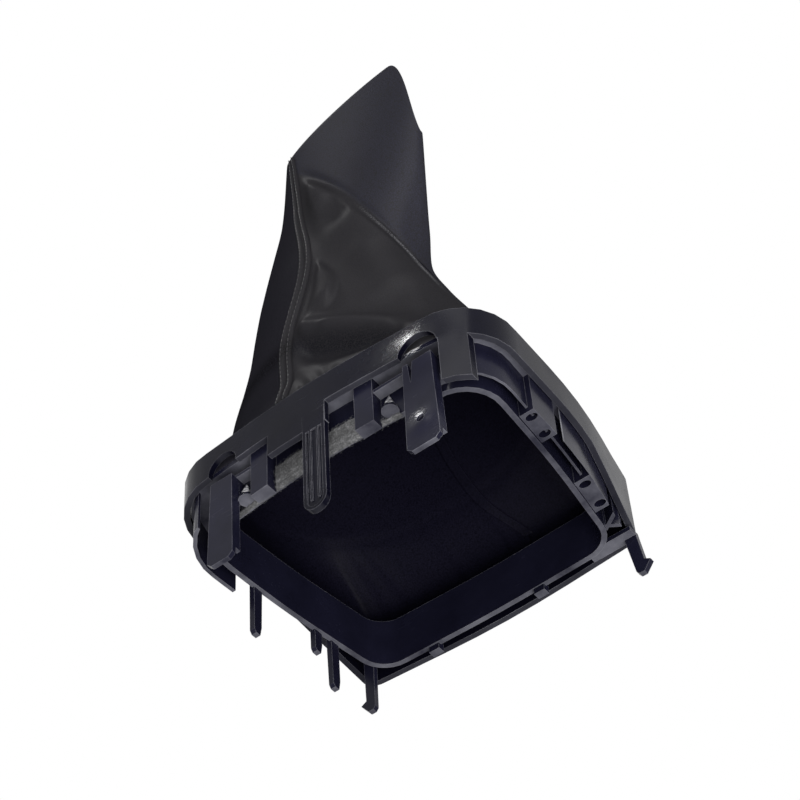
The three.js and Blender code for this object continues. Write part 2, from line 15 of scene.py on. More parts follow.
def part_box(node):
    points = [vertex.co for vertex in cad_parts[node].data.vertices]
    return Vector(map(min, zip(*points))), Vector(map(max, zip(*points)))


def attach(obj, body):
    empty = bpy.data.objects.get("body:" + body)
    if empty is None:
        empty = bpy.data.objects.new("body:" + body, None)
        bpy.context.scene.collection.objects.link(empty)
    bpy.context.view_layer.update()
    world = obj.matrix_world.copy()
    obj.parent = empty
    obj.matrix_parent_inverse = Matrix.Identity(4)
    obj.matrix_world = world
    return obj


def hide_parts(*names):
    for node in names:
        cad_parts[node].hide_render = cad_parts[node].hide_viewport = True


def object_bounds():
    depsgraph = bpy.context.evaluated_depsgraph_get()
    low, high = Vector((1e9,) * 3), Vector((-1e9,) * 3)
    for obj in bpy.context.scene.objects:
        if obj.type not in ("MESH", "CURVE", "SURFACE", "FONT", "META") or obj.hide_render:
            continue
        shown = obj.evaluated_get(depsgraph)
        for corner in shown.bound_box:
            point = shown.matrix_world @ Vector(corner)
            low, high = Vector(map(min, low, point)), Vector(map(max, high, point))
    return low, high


bl_info = {
    "name": "Gear lever gaiter",
    "version": (1, 0, 0),
    "blender": (4, 5, 0),
    "location": "View3D > Sidebar > Gaiter",
    "description": "Builds the looks of a gear lever gaiter round its packed part",
    "category": "Add Mesh",
}

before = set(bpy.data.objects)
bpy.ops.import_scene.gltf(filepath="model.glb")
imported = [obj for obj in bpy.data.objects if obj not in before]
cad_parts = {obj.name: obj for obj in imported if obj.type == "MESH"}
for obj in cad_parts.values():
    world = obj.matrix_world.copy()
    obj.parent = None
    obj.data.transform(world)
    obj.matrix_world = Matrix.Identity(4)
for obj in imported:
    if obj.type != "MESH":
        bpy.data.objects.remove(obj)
cad_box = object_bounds()

MM = 0.001

# The ring's lower edge and middle, from which the boot is laid out
RING_HEIGHT = 24.3 * MM
BOOT_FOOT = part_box("right_panel")[0].z
RING_MIDDLE = Vector((2.0 * MM, 0.25 * MM, BOOT_FOOT - RING_HEIGHT))
BEZEL_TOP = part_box("bezel")[1].z - RING_MIDDLE.z

# The boot's cross-sections, from the bezel up: height, middle across and in depth, half width, half
# depth, and its turn in degrees
BOOT_STATIONS = np.array([
    (0.058, -0.0080, -0.006, 0.0710, 0.050, 0),
    (0.075, -0.0110, -0.010, 0.0650, 0.044, 0),
    (0.092, -0.0120, -0.014, 0.0570, 0.038, 0),
    (0.110, -0.0135, -0.018, 0.0505, 0.031, -1),
    (0.130, -0.0147, -0.022, 0.0457, 0.024, -2),
    (0.150, -0.0115, -0.0245, 0.0460, 0.019, -3),
    (0.170, -0.0075, -0.027, 0.0465, 0.014, -5),
    (0.190, -0.0040, -0.0285, 0.0460, 0.011, -6.5),
    (0.215, 0.0000, -0.030, 0.0450, 0.0085, -8),
    (0.2615, 0.0045, -0.031, 0.0455, 0.006, -8),
])
BOOT_TOP = BOOT_STATIONS[-1, 0]

# The height that the foot's outline takes to turn into the cross-sections
BLEND_RISE = 0.026

# The slanted rim: how deep it is cut, and where round the boot the cut starts and ends, as cosines
RIM_CUT = 0.060
RIM_CUT_START = 0.6
FAR_RIM_CUT = (0.0, 0.75)

# The leather, the gap between its two halves, and the tape that covers the gap on the inside
LEATHER = 1.4 * MM
PANEL_GAP = 0.15 * MM
TAPE_WIDTH = 5.0 * MM
TAPE_OFF = 0.1 * MM
TAPE = 0.3 * MM

# The ring's bowed front wall, the raw edge folded under it, and the bright points on its two lugs
WALL_FRONT = -53.25 * MM
WALL_BOW = 3.0 * MM
WALL_HALF = 50.0 * MM
HEM_EDGE_ENDS = (-47.0 * MM, 36.0 * MM)
HEM_EDGE_FACE = (-0.7 * MM, 1.5 * MM)
HEM_EDGE_RISE = (-0.7 * MM, 0.4 * MM)
LUGS_ACROSS = (-35.5 * MM, 33.5 * MM)
LUG_STAND = 3.0 * MM
PIN_LOW = 2.0 * MM
PIN_HEIGHT = 7.2 * MM
PIN_RADIUS = 3.1 * MM

# Slight swellings of the mouldings that catch the light: middle, width and height
SWELLINGS = (
    ((0.0500, -0.0637, 0.0535), 0.0120, 0.0044),
    ((0.0500, -0.0615, 0.0130), 0.0050, 0.0017),
)

# How far across the front seam lies at each height
SEAM_COURSE = np.array([
    (0.030, -0.013), (0.060, -0.019), (0.088, -0.021), (0.145, -0.016), (0.200, -0.026), (BOOT_TOP, -0.035),
])
SEAM_END = 0.004

# The welt: its two ridges' place and width as shares of half its width, how round they are, and its faces
WELT_RIDGE = 0.52
WELT_RIDGE_WIDTH = 0.46
WELT_ROUND = 0.6
WELT_OVER = 0.05 * MM
WELT_UNDER = 0.5 * MM

# The stitches: their place beside the welt's middle as a share of its width, and on its ridge's height
STITCH_ROW = 0.27
STITCH_SEAT = 0.97

# Half of the boot's width at its foot, as the seam's course counts it
FOOT_HALF = 0.054

# The long fold's edge on the near face, and the roll that runs down from the seam to the right corner
FOLD_COURSE = np.array([
    (-0.030, 0.238), (-0.013, 0.212), (0.004, 0.182), (0.020, 0.149), (0.028, 0.131), (0.034, 0.115),
    (0.046, 0.086),
])
ROLL_COURSE = np.array([(-0.020, 0.093), (0.000, 0.079), (0.020, 0.067), (0.044, 0.052)])

# The fold: how far under its edge it rises and sinks, its ridge and the dip behind it, where the ridge starts
# across, where a highlight is painted along it, and where the fold fades out
FOLD_RISE = (-0.001, 0.010)
FOLD_SINK = (0.014, 0.060)
RIDGE_UNDER = 0.0012
RIDGE_WIDTH = 0.0016
HIGHLIGHT_WIDTH = 0.0010
DIP_OVER = 0.0025
DIP_WIDTH = 0.0035
RIDGE_START = (0.002, 0.018)
HIGHLIGHT_START = (0.008, 0.024)
HIGHLIGHT_END = (0.034, 0.042)
FOLD_FADE = (0.034, 0.046)

# The roll: its width, and how far under it the dip lies in the shape and the painted shade in its colour
ROLL_WIDTH = 0.008
HOLLOW_UNDER = 0.015
SHADE_UNDER = 0.011

# Small creases and hollows of the near face: two ends across and up, how far they stand out, their width
CREASES = (
    ((-0.012, 0.200), (-0.008, 0.188), 0.0028, 0.0075),
    ((0.000, 0.184), (0.002, 0.168), -0.0024, 0.0100),
    ((0.016, 0.128), (0.026, 0.100), 0.0024, 0.0110),
    ((0.004, 0.076), (0.030, 0.064), 0.0016, 0.0050),
)

# The small lobe of slack leather beside the seam: where its steep edge lies at each height
LOBE_COURSE = np.array([(0.090, -0.002), (0.104, 0.001), (0.119, 0.0005), (0.136, -0.007), (0.160, -0.019)])
LOBE_RISE = (0.092, 0.108)
LOBE_FADE = (0.138, 0.160)
LOBE_EDGE = (-0.0015, 0.0015)
LOBE_BACK = (0.004, 0.016)

# The mouldings: how near points are joined, and the angles in degrees under which faces are one plane and
# over which an edge is rounded
JOIN = 0.005 * MM
FLAT_ANGLE = 0.5
EDGE_ANGLE = 32

# The raw textile: the size of its faces, how many tufts lie on a metre, and how far they stand
CLOTH_FACE = 0.35 * MM
TUFTS = 900
TUFT_STAND = 0.22 * MM

# A thin clear skin whose gloss stays even from face-on to grazing, and its cool cast
EVEN_GLOSS_IOR = 4.0
COOL = (0.80, 0.81, 1.0, 1.0)

# How far down a face of the mouldings looks where its painted light starts, and where it is full
LOOKS_DOWN = (-0.80, -0.97)

# Where each lamp stands from the part's middle: direction, distance and side of its square
LAMP_PLACES = {
    "key": ((0.35, -0.75, 0.55), 1.3, 0.9),
    "fill": ((0.45, 0.85, 0.25), 1.4, 0.9),
    "low": ((0.42, -0.30, -0.85), 1.3, 0.9),
    "glint": ((-0.36, -0.054, 0.93), 1.3, 0.14),
}

# Where the photograph was taken from, what its middle shows, its roll, and its lens on a 36 mm sensor
CAMERA_EYE = Vector((0.3326, -0.4936, -0.5768))
CAMERA_TARGET = Vector((0.0200, -0.0306, 0.0771))
CAMERA_ROLL = -4.394
CAMERA_LENS = 99.0
CAMERA_SENSOR = 36.0


def smooth_step(value, low, high):
    """0 below low, 1 above high, smooth between them."""
    t = np.clip((value - low) / (high - low), 0, 1)
    return t * t * (3 - 2 * t)


def hump(off, width):
    """A smooth hump, 1 in its middle."""
    return np.exp(-((off / width) ** 2))


def curve_through(pairs, at):
    """Smooth curve through (place, value) pairs, read at many places."""
    places, values = pairs[:, 0], pairs[:, 1]
    slopes = np.empty_like(values)
    slopes[1:-1] = (values[2:] - values[:-2]) / (places[2:] - places[:-2])
    slopes[0] = (values[1] - values[0]) / (places[1] - places[0])
    slopes[-1] = (values[-1] - values[-2]) / (places[-1] - places[-2])
    at = np.clip(at, places[0], places[-1])
    i = np.clip(np.searchsorted(places, at) - 1, 0, len(places) - 2)
    step = places[i + 1] - places[i]
    t = (at - places[i]) / step
    return ((2 * t**3 - 3 * t**2 + 1) * values[i] + (t**3 - 2 * t**2 + t) * slopes[i] * step
            + (3 * t**2 - 2 * t**3) * values[i + 1] + (t**3 - t**2) * slopes[i + 1] * step)


def station(column, height):
    """One measure of the boot's cross-section at many heights."""
    return curve_through(BOOT_STATIONS[:, (0, column)], height)


def read_foot_outline():
    """The boot's outer foot edge as (angle, x, y) rows round the ring's middle, read from the CAD panels."""
    rows = {}
    for node in ("right_panel", "left_panel"):
        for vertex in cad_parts[node].data.vertices:
            if vertex.co.z > BOOT_FOOT + 0.01 * MM:
                continue
            x, y = vertex.co.x - RING_MIDDLE.x, vertex.co.y - RING_MIDDLE.y
            key = round(math.atan2(y, x), 4)
            if key not in rows or math.hypot(x, y) > math.hypot(*rows[key]):
                rows[key] = (x, y)
    outline = np.array([(angle, *rows[angle]) for angle in sorted(rows)])
    before, after = outline[-1:].copy(), outline[:1].copy()
    before[:, 0] -= 2 * math.pi
    after[:, 0] += 2 * math.pi
    return np.vstack([before, outline, after])


FOOT_OUTLINE = read_foot_outline()


def foot_radius(angle):
    """How far the boot's foot lies from the ring's middle at each angle."""
    angle = np.arctan2(np.sin(angle), np.cos(angle))
    i = np.clip(np.searchsorted(FOOT_OUTLINE[:, 0], angle) - 1, 0, len(FOOT_OUTLINE) - 2)
    ax, ay = FOOT_OUTLINE[i, 1], FOOT_OUTLINE[i, 2]
    bx, by = FOOT_OUTLINE[i + 1, 1], FOOT_OUTLINE[i + 1, 2]
    return (ax * by - ay * bx) / (np.cos(angle) * (by - ay) - np.sin(angle) * (bx - ax))


def crease_stand(across, height):
    """How far the small creases lift or sink the near face."""
    stand = np.zeros_like(across)
    for (x0, z0), (x1, z1), lift, width in CREASES:
        dx, dz = x1 - x0, z1 - z0
        share = np.clip(((across - x0) * dx + (height - z0) * dz) / (dx * dx + dz * dz), 0, 1)
        far = np.hypot(across - x0 - share * dx, height - z0 - share * dz)
        stand += lift * hump(far, width)
    return stand * smooth_step(curve_through(FOLD_COURSE, across) - height, 0.0, 0.012)


def lobe_stand(across, height, looks):
    """How far the lobe beside the seam stands out, steep on its right."""
    inside = curve_through(LOBE_COURSE, height) - across
    rise = smooth_step(height, *LOBE_RISE) * (1 - smooth_step(height, *LOBE_FADE))
    return looks.lobe_stand * rise * smooth_step(inside, *LOBE_EDGE) * (1 - smooth_step(inside, *LOBE_BACK))


def fold_stand(across, height, looks):
    """How far the leather stands out under the long fold, with the fold's sharp edge."""
    under = curve_through(FOLD_COURSE, across) - height
    fold = smooth_step(under, *FOLD_RISE) * (1 - smooth_step(under, *FOLD_SINK))
    ridge = hump(under - RIDGE_UNDER, RIDGE_WIDTH) * smooth_step(across, *RIDGE_START)
    dip = 0.4 * hump(under + DIP_OVER, DIP_WIDTH)
    fade = 1 - smooth_step(across, *FOLD_FADE)
    return fade * (looks.fold_stand * fold + looks.ridge_stand * (ridge - dip))


def roll_stand(across, height, looks):
    """How far the roll over the bezel stands out, with the dip under it."""
    off = height - curve_through(ROLL_COURSE, across)
    return looks.roll_stand * (hump(off, ROLL_WIDTH) - 0.9 * hump(off + HOLLOW_UNDER, ROLL_WIDTH))


def boot_points(angle, rise, looks, inward=0.0):
    """Points of the boot: angle goes round it, rise is 0 at its foot and 1 at its rim."""
    near_cut = np.clip((np.cos(angle) - RIM_CUT_START) / (1 - RIM_CUT_START), 0, 1) ** 2
    rim = BOOT_TOP - RIM_CUT * np.where(np.sin(angle) > 0, smooth_step(np.cos(angle), *FAR_RIM_CUT), near_cut)
    height = RING_HEIGHT + (rim - RING_HEIGHT) * rise
    reach = foot_radius(angle) - inward
    foot = np.stack([reach * np.cos(angle), reach * np.sin(angle)], -1)
    wide = (station(3, height) - inward) * np.cos(angle)
    deep = (station(4, height) - inward) * np.sin(angle)
    turn = np.radians(station(5, height))
    oval = np.stack([
        wide * np.cos(turn) - deep * np.sin(turn) + station(1, height),
        wide * np.sin(turn) + deep * np.cos(turn) + station(2, height),
    ], -1)
    mix = smooth_step(height, BEZEL_TOP, BEZEL_TOP + BLEND_RISE)
    at = foot + (oval - foot) * mix[..., None]
    across = at[..., 0]
    near = smooth_step(-np.sin(angle), 0.05, 0.6) * mix
    past_seam = across - curve_through(SEAM_COURSE, height)
    fold = fold_stand(across, height, looks) * smooth_step(-np.sin(angle), -0.5, 0.0) * mix
    fold = fold * smooth_step(past_seam, 0.002, 0.012)
    small = roll_stand(across, height, looks) + crease_stand(across, height)
    small = (small + lobe_stand(across, height, looks)) * near * smooth_step(past_seam, 0.004, 0.012)
    waves = soft_waves(angle, height) * mix * looks.wave_stand
    x = across + waves * np.cos(angle) + 0.5 * fold * smooth_step(np.cos(angle), 0.4, 1.0)
    y = at[..., 1] - fold - small + waves * np.sin(angle)
    return np.stack([x, y, height], -1) + np.array(RING_MIDDLE)


def soft_waves(angle, height):
    """Broad uneven folds of the sides and back, from smooth noise, quiet on the near face and the sleeve."""
    quiet = 1 - 0.85 * smooth_step(-np.sin(angle), 0.1, 0.6)
    place = np.stack([1.3 * np.cos(angle), 1.3 * np.sin(angle), height * 14], -1).reshape(-1, 3)
    waves = np.array([noise.noise(Vector(p)) for p in place]).reshape(angle.shape)
    return waves * quiet * (1 - 0.6 * smooth_step(height, 0.150, 0.220))


def seam_angle(rise):
    """The front seam's angle round the boot."""
    height = RING_HEIGHT + (BOOT_TOP - RING_HEIGHT) * rise
    mix = smooth_step(height, BEZEL_TOP, BEZEL_TOP + BLEND_RISE)
    half = FOOT_HALF + (station(3, height) - FOOT_HALF) * mix
    across = (curve_through(SEAM_COURSE, height) - station(1, height) * mix) / half
    return -np.arccos(np.clip(across, -0.985, 1))


def link_mesh(name, mesh):
    """A new object for a mesh, in the scene."""
    piece = bpy.data.objects.new(name, mesh)
    bpy.context.scene.collection.objects.link(piece)
    return piece


def store(mesh, name, values):
    """Keeps one number for each point of a mesh."""
    mesh.attributes.new(name, "FLOAT", "POINT").data.foreach_set("value", values)


def shell_mesh(name, outer, inner):
    """A closed smooth shell between two grids of points. Its points carry whether they lie inside, above the
    long fold (painted lit and bluer there), on its ridge (painted highlight) or in the painted shade under
    the roll."""
    rows, columns = outer.shape[:2]
    points = np.vstack([outer.reshape(-1, 3), inner.reshape(-1, 3)])
    half = rows * columns
    index = np.arange(half).reshape(rows, columns)
    a, b, c, d = index[:-1, :-1], index[:-1, 1:], index[1:, 1:], index[1:, :-1]
    front = np.stack([a, b, c, d], -1).reshape(-1, 4)
    back = np.stack([a, d, c, b], -1).reshape(-1, 4) + half
    border = np.concatenate([index[0, :], index[1:, -1], index[-1, -2::-1], index[-2:0:-1, 0]])
    after = np.roll(border, -1)
    edge = np.stack([border, border + half, after + half, after], -1)
    mesh = bpy.data.meshes.new(name)
    mesh.from_pydata(points.tolist(), [], np.vstack([front, back, edge]).tolist())
    mesh.shade_smooth()
    across, height = points[:, 0] - RING_MIDDLE.x, points[:, 2] - RING_MIDDLE.z
    near = smooth_step(station(2, height) + RING_MIDDLE.y - points[:, 1], 0.0, 0.006)
    under = curve_through(FOLD_COURSE, across) - height
    over_roll = height - curve_through(ROLL_COURSE, across)
    store(mesh, "inside", np.repeat([0.0, 1.0], half))
    # Marks where the flap's painted light goes: the lit, bluer colour above the long fold
    store(mesh, "above_fold", smooth_step(-under, 0.0, 0.004))
    # Where a highlight is painted along the long fold's ridge
    highlit = smooth_step(across, *HIGHLIGHT_START) * (1 - smooth_step(across, *HIGHLIGHT_END))
    store(mesh, "ridge", near * highlit * hump(under - RIDGE_UNDER, HIGHLIGHT_WIDTH))
    # Painted shade: the dark band under the roll at the foot
    store(mesh, "hollow", near * hump(over_roll + SHADE_UNDER, ROLL_WIDTH))
    return mesh


def give(piece, material, slot, *nodes):
    """Finishes a piece: its material, the body it rides on and the CAD nodes it stands for. Its slot argument
    is not used.
    """
    piece.data.materials.clear()
    piece.data.materials.append(material)
    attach(piece, "root")
    if nodes:
        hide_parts(*nodes)


def baked(piece):
    """Turns a piece with live modifiers into a plain mesh."""
    graph = bpy.context.evaluated_depsgraph_get()
    mesh = bpy.data.meshes.new_from_object(piece.evaluated_get(graph))
    piece.modifiers.clear()
    piece.data = mesh
    return piece


def put(tree, kind, inputs=None, **settings):
    """A new node with its settings made and its inputs set or linked."""
    node = tree.nodes.new(kind)
    for name, value in settings.items():
        setattr(node, name, value)
    for name, value in (inputs or {}).items():
        if isinstance(value, bpy.types.NodeSocket):
            tree.links.new(value, node.inputs[name])
        else:
            node.inputs[name].default_value = value
    return node


def math_node(tree, operation, first, second=0.0, clamp=False):
    """The output of one Math node."""
    return put(tree, "ShaderNodeMath", {0: first, 1: second}, operation=operation, use_clamp=clamp).outputs[0]


def spread(tree, value, low, high, to_low=0.0, to_high=1.0):
    """A value's range stretched to another, without overshoot."""
    return put(tree, "ShaderNodeMapRange", {
        "Value": value, "From Min": low, "From Max": high, "To Min": to_low, "To Max": to_high,
    }).outputs["Result"]


def blended(tree, share, first, second):
    """The colour between two colours."""
    node = put(tree, "ShaderNodeMix", data_type="RGBA")
    for socket, value in ((node.inputs[0], share), (node.inputs[6], first), (node.inputs[7], second)):
        if isinstance(value, bpy.types.NodeSocket):
            tree.links.new(value, socket)
        else:
            socket.default_value = value
    return node.outputs[2]


def node_group(name, kind, inputs, outputs):
    """An empty node group with its named inputs and outputs, each given with its kind of socket."""
    tree = bpy.data.node_groups.new(name, kind)
    for way, sockets in (("INPUT", inputs), ("OUTPUT", outputs)):
        for label, socket in sockets.items():
            tree.interface.new_socket(label, in_out=way, socket_type="NodeSocket" + socket)
    return tree, tree.nodes.new("NodeGroupInput").outputs, tree.nodes.new("NodeGroupOutput").inputs


def leather_grain_group():
    """Pebbled grain with fine pores, and a slow shade over the hide."""
    tree, given, result = node_group(
        "Leather grain", "ShaderNodeTree", {"Scale": "Float"}, {"Height": "Float", "Shade": "Float"})
    where = put(tree, "ShaderNodeTexCoord").outputs["Object"]
    bend = put(tree, "ShaderNodeTexNoise", {
        "Vector": where, "Scale": math_node(tree, "MULTIPLY", given["Scale"], 0.5), "Detail": 2.0})
    moved = put(tree, "ShaderNodeVectorMath", {
        0: bend.outputs["Color"], 1: (0.0011, 0.0011, 0.0011)}, operation="MULTIPLY")
    warped = put(tree, "ShaderNodeVectorMath", {0: where, 1: moved.outputs[0]}, operation="ADD").outputs[0]
    cells = put(tree, "ShaderNodeTexVoronoi", {"Vector": warped, "Scale": given["Scale"]},
                feature="DISTANCE_TO_EDGE")
    pores = put(tree, "ShaderNodeTexNoise", {
        "Vector": where, "Scale": math_node(tree, "MULTIPLY", given["Scale"], 2.5), "Detail": 3.0})
    pebble = spread(tree, cells.outputs["Distance"], 0.0, 0.22)
    height = math_node(tree, "ADD", math_node(tree, "MULTIPLY", pebble, 0.7),
                       math_node(tree, "MULTIPLY", pores.outputs["Fac"], 0.3))
    slow = put(tree, "ShaderNodeTexNoise", {"Vector": where, "Scale": 22.0, "Detail": 4.0, "Roughness": 0.6})
    tree.links.new(height, result["Height"])
    tree.links.new(spread(tree, slow.outputs["Fac"], 0.3, 0.7), result["Shade"])
    return tree


def swelling(tree):
    """How far the mould's slight swellings stand out, as a height in metres."""
    where = put(tree, "ShaderNodeTexCoord").outputs["Object"]
    height = 0.0
    for spot, width, lift in SWELLINGS:
        off = put(tree, "ShaderNodeVectorMath", {0: where, 1: spot}, operation="DISTANCE").outputs["Value"]
        part = math_node(tree, "POWER", math_node(tree, "DIVIDE", off, width), 2.0)
        bell = math_node(tree, "EXPONENT", math_node(tree, "MULTIPLY", part, -1.0))
        height = math_node(tree, "ADD", height, math_node(tree, "MULTIPLY", bell, lift))
    return height


def moulded_skin_group():
    """Fine moulding grain, slow smears and a few scratches on plastic."""
    marks = dict.fromkeys(("Height", "Wave", "Smear", "Scratch"), "Float")
    tree, given, result = node_group("Moulded skin", "ShaderNodeTree", {"Scale": "Float"}, marks)
    where = put(tree, "ShaderNodeTexCoord").outputs["Object"]
    grain = put(tree, "ShaderNodeTexNoise", {"Vector": where, "Scale": given["Scale"], "Detail": 2.0})
    smear = put(tree, "ShaderNodeTexNoise", {
        "Vector": where, "Scale": 38.0, "Detail": 5.0, "Roughness": 0.62})
    long_way = put(tree, "ShaderNodeMapping", {
        "Vector": where, "Rotation": (0.5, 0.3, 0.8), "Scale": (60, 700, 700)})
    scratch = put(tree, "ShaderNodeTexNoise", {"Vector": long_way.outputs[0], "Scale": 1.0, "Detail": 1.0})
    wave = put(tree, "ShaderNodeTexNoise", {"Vector": where, "Scale": 32.0, "Detail": 1.0})
    tree.links.new(grain.outputs["Fac"], result["Height"])
    tree.links.new(wave.outputs["Fac"], result["Wave"])
    tree.links.new(spread(tree, smear.outputs["Fac"], 0.3, 0.7), result["Smear"])
    tree.links.new(spread(tree, scratch.outputs["Fac"], 0.66, 0.72), result["Scratch"])
    return tree


def edge_group():
    """A mask that is 1 on edges and corners, for scuffed edges and painted edge highlights."""
    tree, given, result = node_group("Edge mask", "ShaderNodeTree", {"Radius": "Float"}, {"Mask": "Float"})
    rounded = put(tree, "ShaderNodeBevel", {"Radius": given["Radius"]}, samples=4)
    flat = put(tree, "ShaderNodeNewGeometry").outputs["Normal"]
    near = put(tree, "ShaderNodeVectorMath", {0: rounded.outputs["Normal"], 1: flat}, operation="DOT_PRODUCT")
    tree.links.new(spread(tree, near.outputs["Value"], 0.99, 0.80), result["Mask"])
    return tree


def use_group(tree, group, **values):
    """A shader group placed in a material with its own values."""
    node = tree.nodes.new("ShaderNodeGroup")
    node.node_tree = group
    for name, value in values.items():
        node.inputs[name.capitalize()].default_value = value
    return node.outputs


def new_material(name, **sockets):
    """A material with a Principled shader whose plain sockets are set."""
    material = bpy.data.materials.new(name)
    material.use_nodes = True
    shader = material.node_tree.nodes["Principled BSDF"]
    for label, value in sockets.items():
        shader.inputs[label.replace("_", " ").title().replace("Ior", "IOR")].default_value = value
    return material, material.node_tree, shader


def rgba(colour):
    """A colour with its full alpha."""
    return (*colour, 1.0)


def toned(colour, factor):
    """A colour made lighter or darker."""
    return (*(part * factor for part in colour), 1.0)


def leather_material(name, looks, groups, colour, flap_lit_colour, gloss):
    """Leatherette outside, knitted textile on the faces marked as inside."""
    material, tree, shader = new_material(
        name, specular_ior_level=0.0, coat_weight=gloss, coat_ior=EVEN_GLOSS_IOR, coat_roughness=0.42)
    grain = use_group(tree, groups["grain"], scale=1 / looks.grain_size)
    inside, above, hollow, ridge = (
        put(tree, "ShaderNodeAttribute", attribute_name=word).outputs["Fac"]
        for word in ("inside", "above_fold", "hollow", "ridge"))
    # Painted light: above the long fold the flap gets a lighter, bluer colour for the cool light it faces
    hide = blended(tree, above, rgba(colour), rgba(flap_lit_colour))
    # Painted shade under the roll
    hide = blended(tree, hollow, hide, toned(flap_lit_colour, 0.3))
    # Painted highlight along the long fold's ridge
    hide = blended(tree, ridge, hide, rgba(looks.ridge_highlight_colour))
    shaded = blended(tree, math_node(tree, "MULTIPLY", grain["Shade"], 0.22), hide, toned(colour, 0.2))
    pitted = blended(tree, spread(tree, grain["Height"], 0.25, 0.6), toned(colour, 0.75), shaded)
    where = put(tree, "ShaderNodeTexCoord").outputs["Object"]
    knit = put(tree, "ShaderNodeTexVoronoi", {"Vector": where, "Scale": 1500.0})
    yarn = looks.lining_colour
    lining = blended(tree, knit.outputs["Distance"], toned(yarn, 1.3), toned(yarn, 0.5))
    tree.links.new(blended(tree, inside, pitted, lining), shader.inputs["Base Color"])
    rough = spread(tree, grain["Shade"], 0, 1, looks.roughness - 0.06, looks.roughness + 0.06)
    rough = math_node(tree, "ADD", rough, math_node(tree, "MULTIPLY", inside, 0.4), clamp=True)
    tree.links.new(rough, shader.inputs["Roughness"])
    bump = put(tree, "ShaderNodeBump", {
        "Height": grain["Height"], "Strength": looks.grain_depth, "Distance": 0.2 * MM})
    tree.links.new(bump.outputs["Normal"], shader.inputs["Normal"])
    return material


def plastic_material(name, looks, groups, colour, gloss, roughness, grain, underlit):
    """Injection moulded plastic: fine grain, uneven gloss, scuffed edges with a painted highlight, and
    painted light on faces that look down.
    """
    material, tree, shader = new_material(
        name, specular_ior_level=0.04, coat_weight=gloss, coat_ior=EVEN_GLOSS_IOR, coat_tint=COOL,
        coat_roughness=roughness)
    skin = use_group(tree, groups["skin"], scale=2200.0)
    edge = use_group(tree, groups["edge"], radius=0.4 * MM)["Mask"]
    body = blended(tree, skin["Smear"], toned(colour, 0.8), toned(colour, 1.3))
    # Scuffed edges, with a painted highlight along them
    edge_rub_and_highlight = math_node(tree, "MULTIPLY", edge, spread(tree, skin["Smear"], 0.2, 0.9, 0.25, 1.0))
    # Painted light: faces that look down are lightened for the light from below
    facing = put(tree, "ShaderNodeNewGeometry").outputs["Normal"]
    up = put(tree, "ShaderNodeSeparateXYZ", {"Vector": facing}).outputs["Z"]
    lower = spread(tree, up, *LOOKS_DOWN)
    lit_below = math_node(tree, "MULTIPLY", lower, spread(tree, skin["Smear"], 0.1, 0.9, 0.05, underlit))
    wear_and_light = math_node(tree, "MAXIMUM", math_node(tree, "MULTIPLY", edge_rub_and_highlight, looks.edge_wear_and_highlight), lit_below)
    worn_and_lit = blended(tree, wear_and_light, body, rgba(looks.wear_and_light_colour))
    tree.links.new(worn_and_lit, shader.inputs["Base Color"])
    uneven = spread(tree, skin["Smear"], 0, 1, roughness - 0.07, roughness + 0.09)
    marked = math_node(tree, "ADD", uneven, math_node(tree, "MULTIPLY", skin["Scratch"], 0.06), clamp=True)
    tree.links.new(marked, shader.inputs["Roughness"])
    wave = put(tree, "ShaderNodeBump", {"Height": skin["Wave"], "Strength": 1.0, "Distance": 0.4 * MM})
    bump = put(tree, "ShaderNodeBump", {
        "Height": skin["Height"], "Strength": grain, "Distance": 0.1 * MM,
        "Normal": wave.outputs["Normal"]})
    swollen = swelling(tree)
    raised = put(tree, "ShaderNodeBump", {
        "Height": swollen, "Strength": 1.0, "Distance": 1.0, "Normal": bump.outputs["Normal"]})
    tree.links.new(raised.outputs["Normal"], shader.inputs["Normal"])
    clear = put(tree, "ShaderNodeBump", {"Height": swollen, "Strength": 1.0, "Distance": 1.0})
    tree.links.new(clear.outputs["Normal"], shader.inputs["Coat Normal"])
    return material


def textile_material(looks):
    """Raw knitted textile: small loops, uneven grey."""
    material, tree, shader = new_material("hem_textile", specular_ior_level=0.2, roughness=0.95)
    where = put(tree, "ShaderNodeTexCoord").outputs["Object"]
    loops = put(tree, "ShaderNodeTexVoronoi", {"Vector": where, "Scale": 1 / looks.loop_size})
    tufts = put(tree, "ShaderNodeTexNoise", {"Vector": where, "Scale": 420.0, "Detail": 4.0})
    soil = put(tree, "ShaderNodeTexNoise", {"Vector": where, "Scale": 110.0, "Detail": 3.0})
    weave = math_node(tree, "MULTIPLY", spread(tree, loops.outputs["Distance"], 0.0, 0.7, 1.0, 0.35),
                      spread(tree, tufts.outputs["Fac"], 0.3, 0.7, 0.5, 1.0))
    shade = math_node(tree, "MULTIPLY", weave, spread(tree, soil.outputs["Fac"], 0.35, 0.6, 0.45, 1.0))
    grey = blended(tree, shade, toned(looks.colour, 0.15), toned(looks.colour, 1.2))
    tree.links.new(grey, shader.inputs["Base Color"])
    bump = put(tree, "ShaderNodeBump", {"Height": shade, "Strength": 0.8, "Distance": 0.3 * MM})
    tree.links.new(bump.outputs["Normal"], shader.inputs["Normal"])
    return material


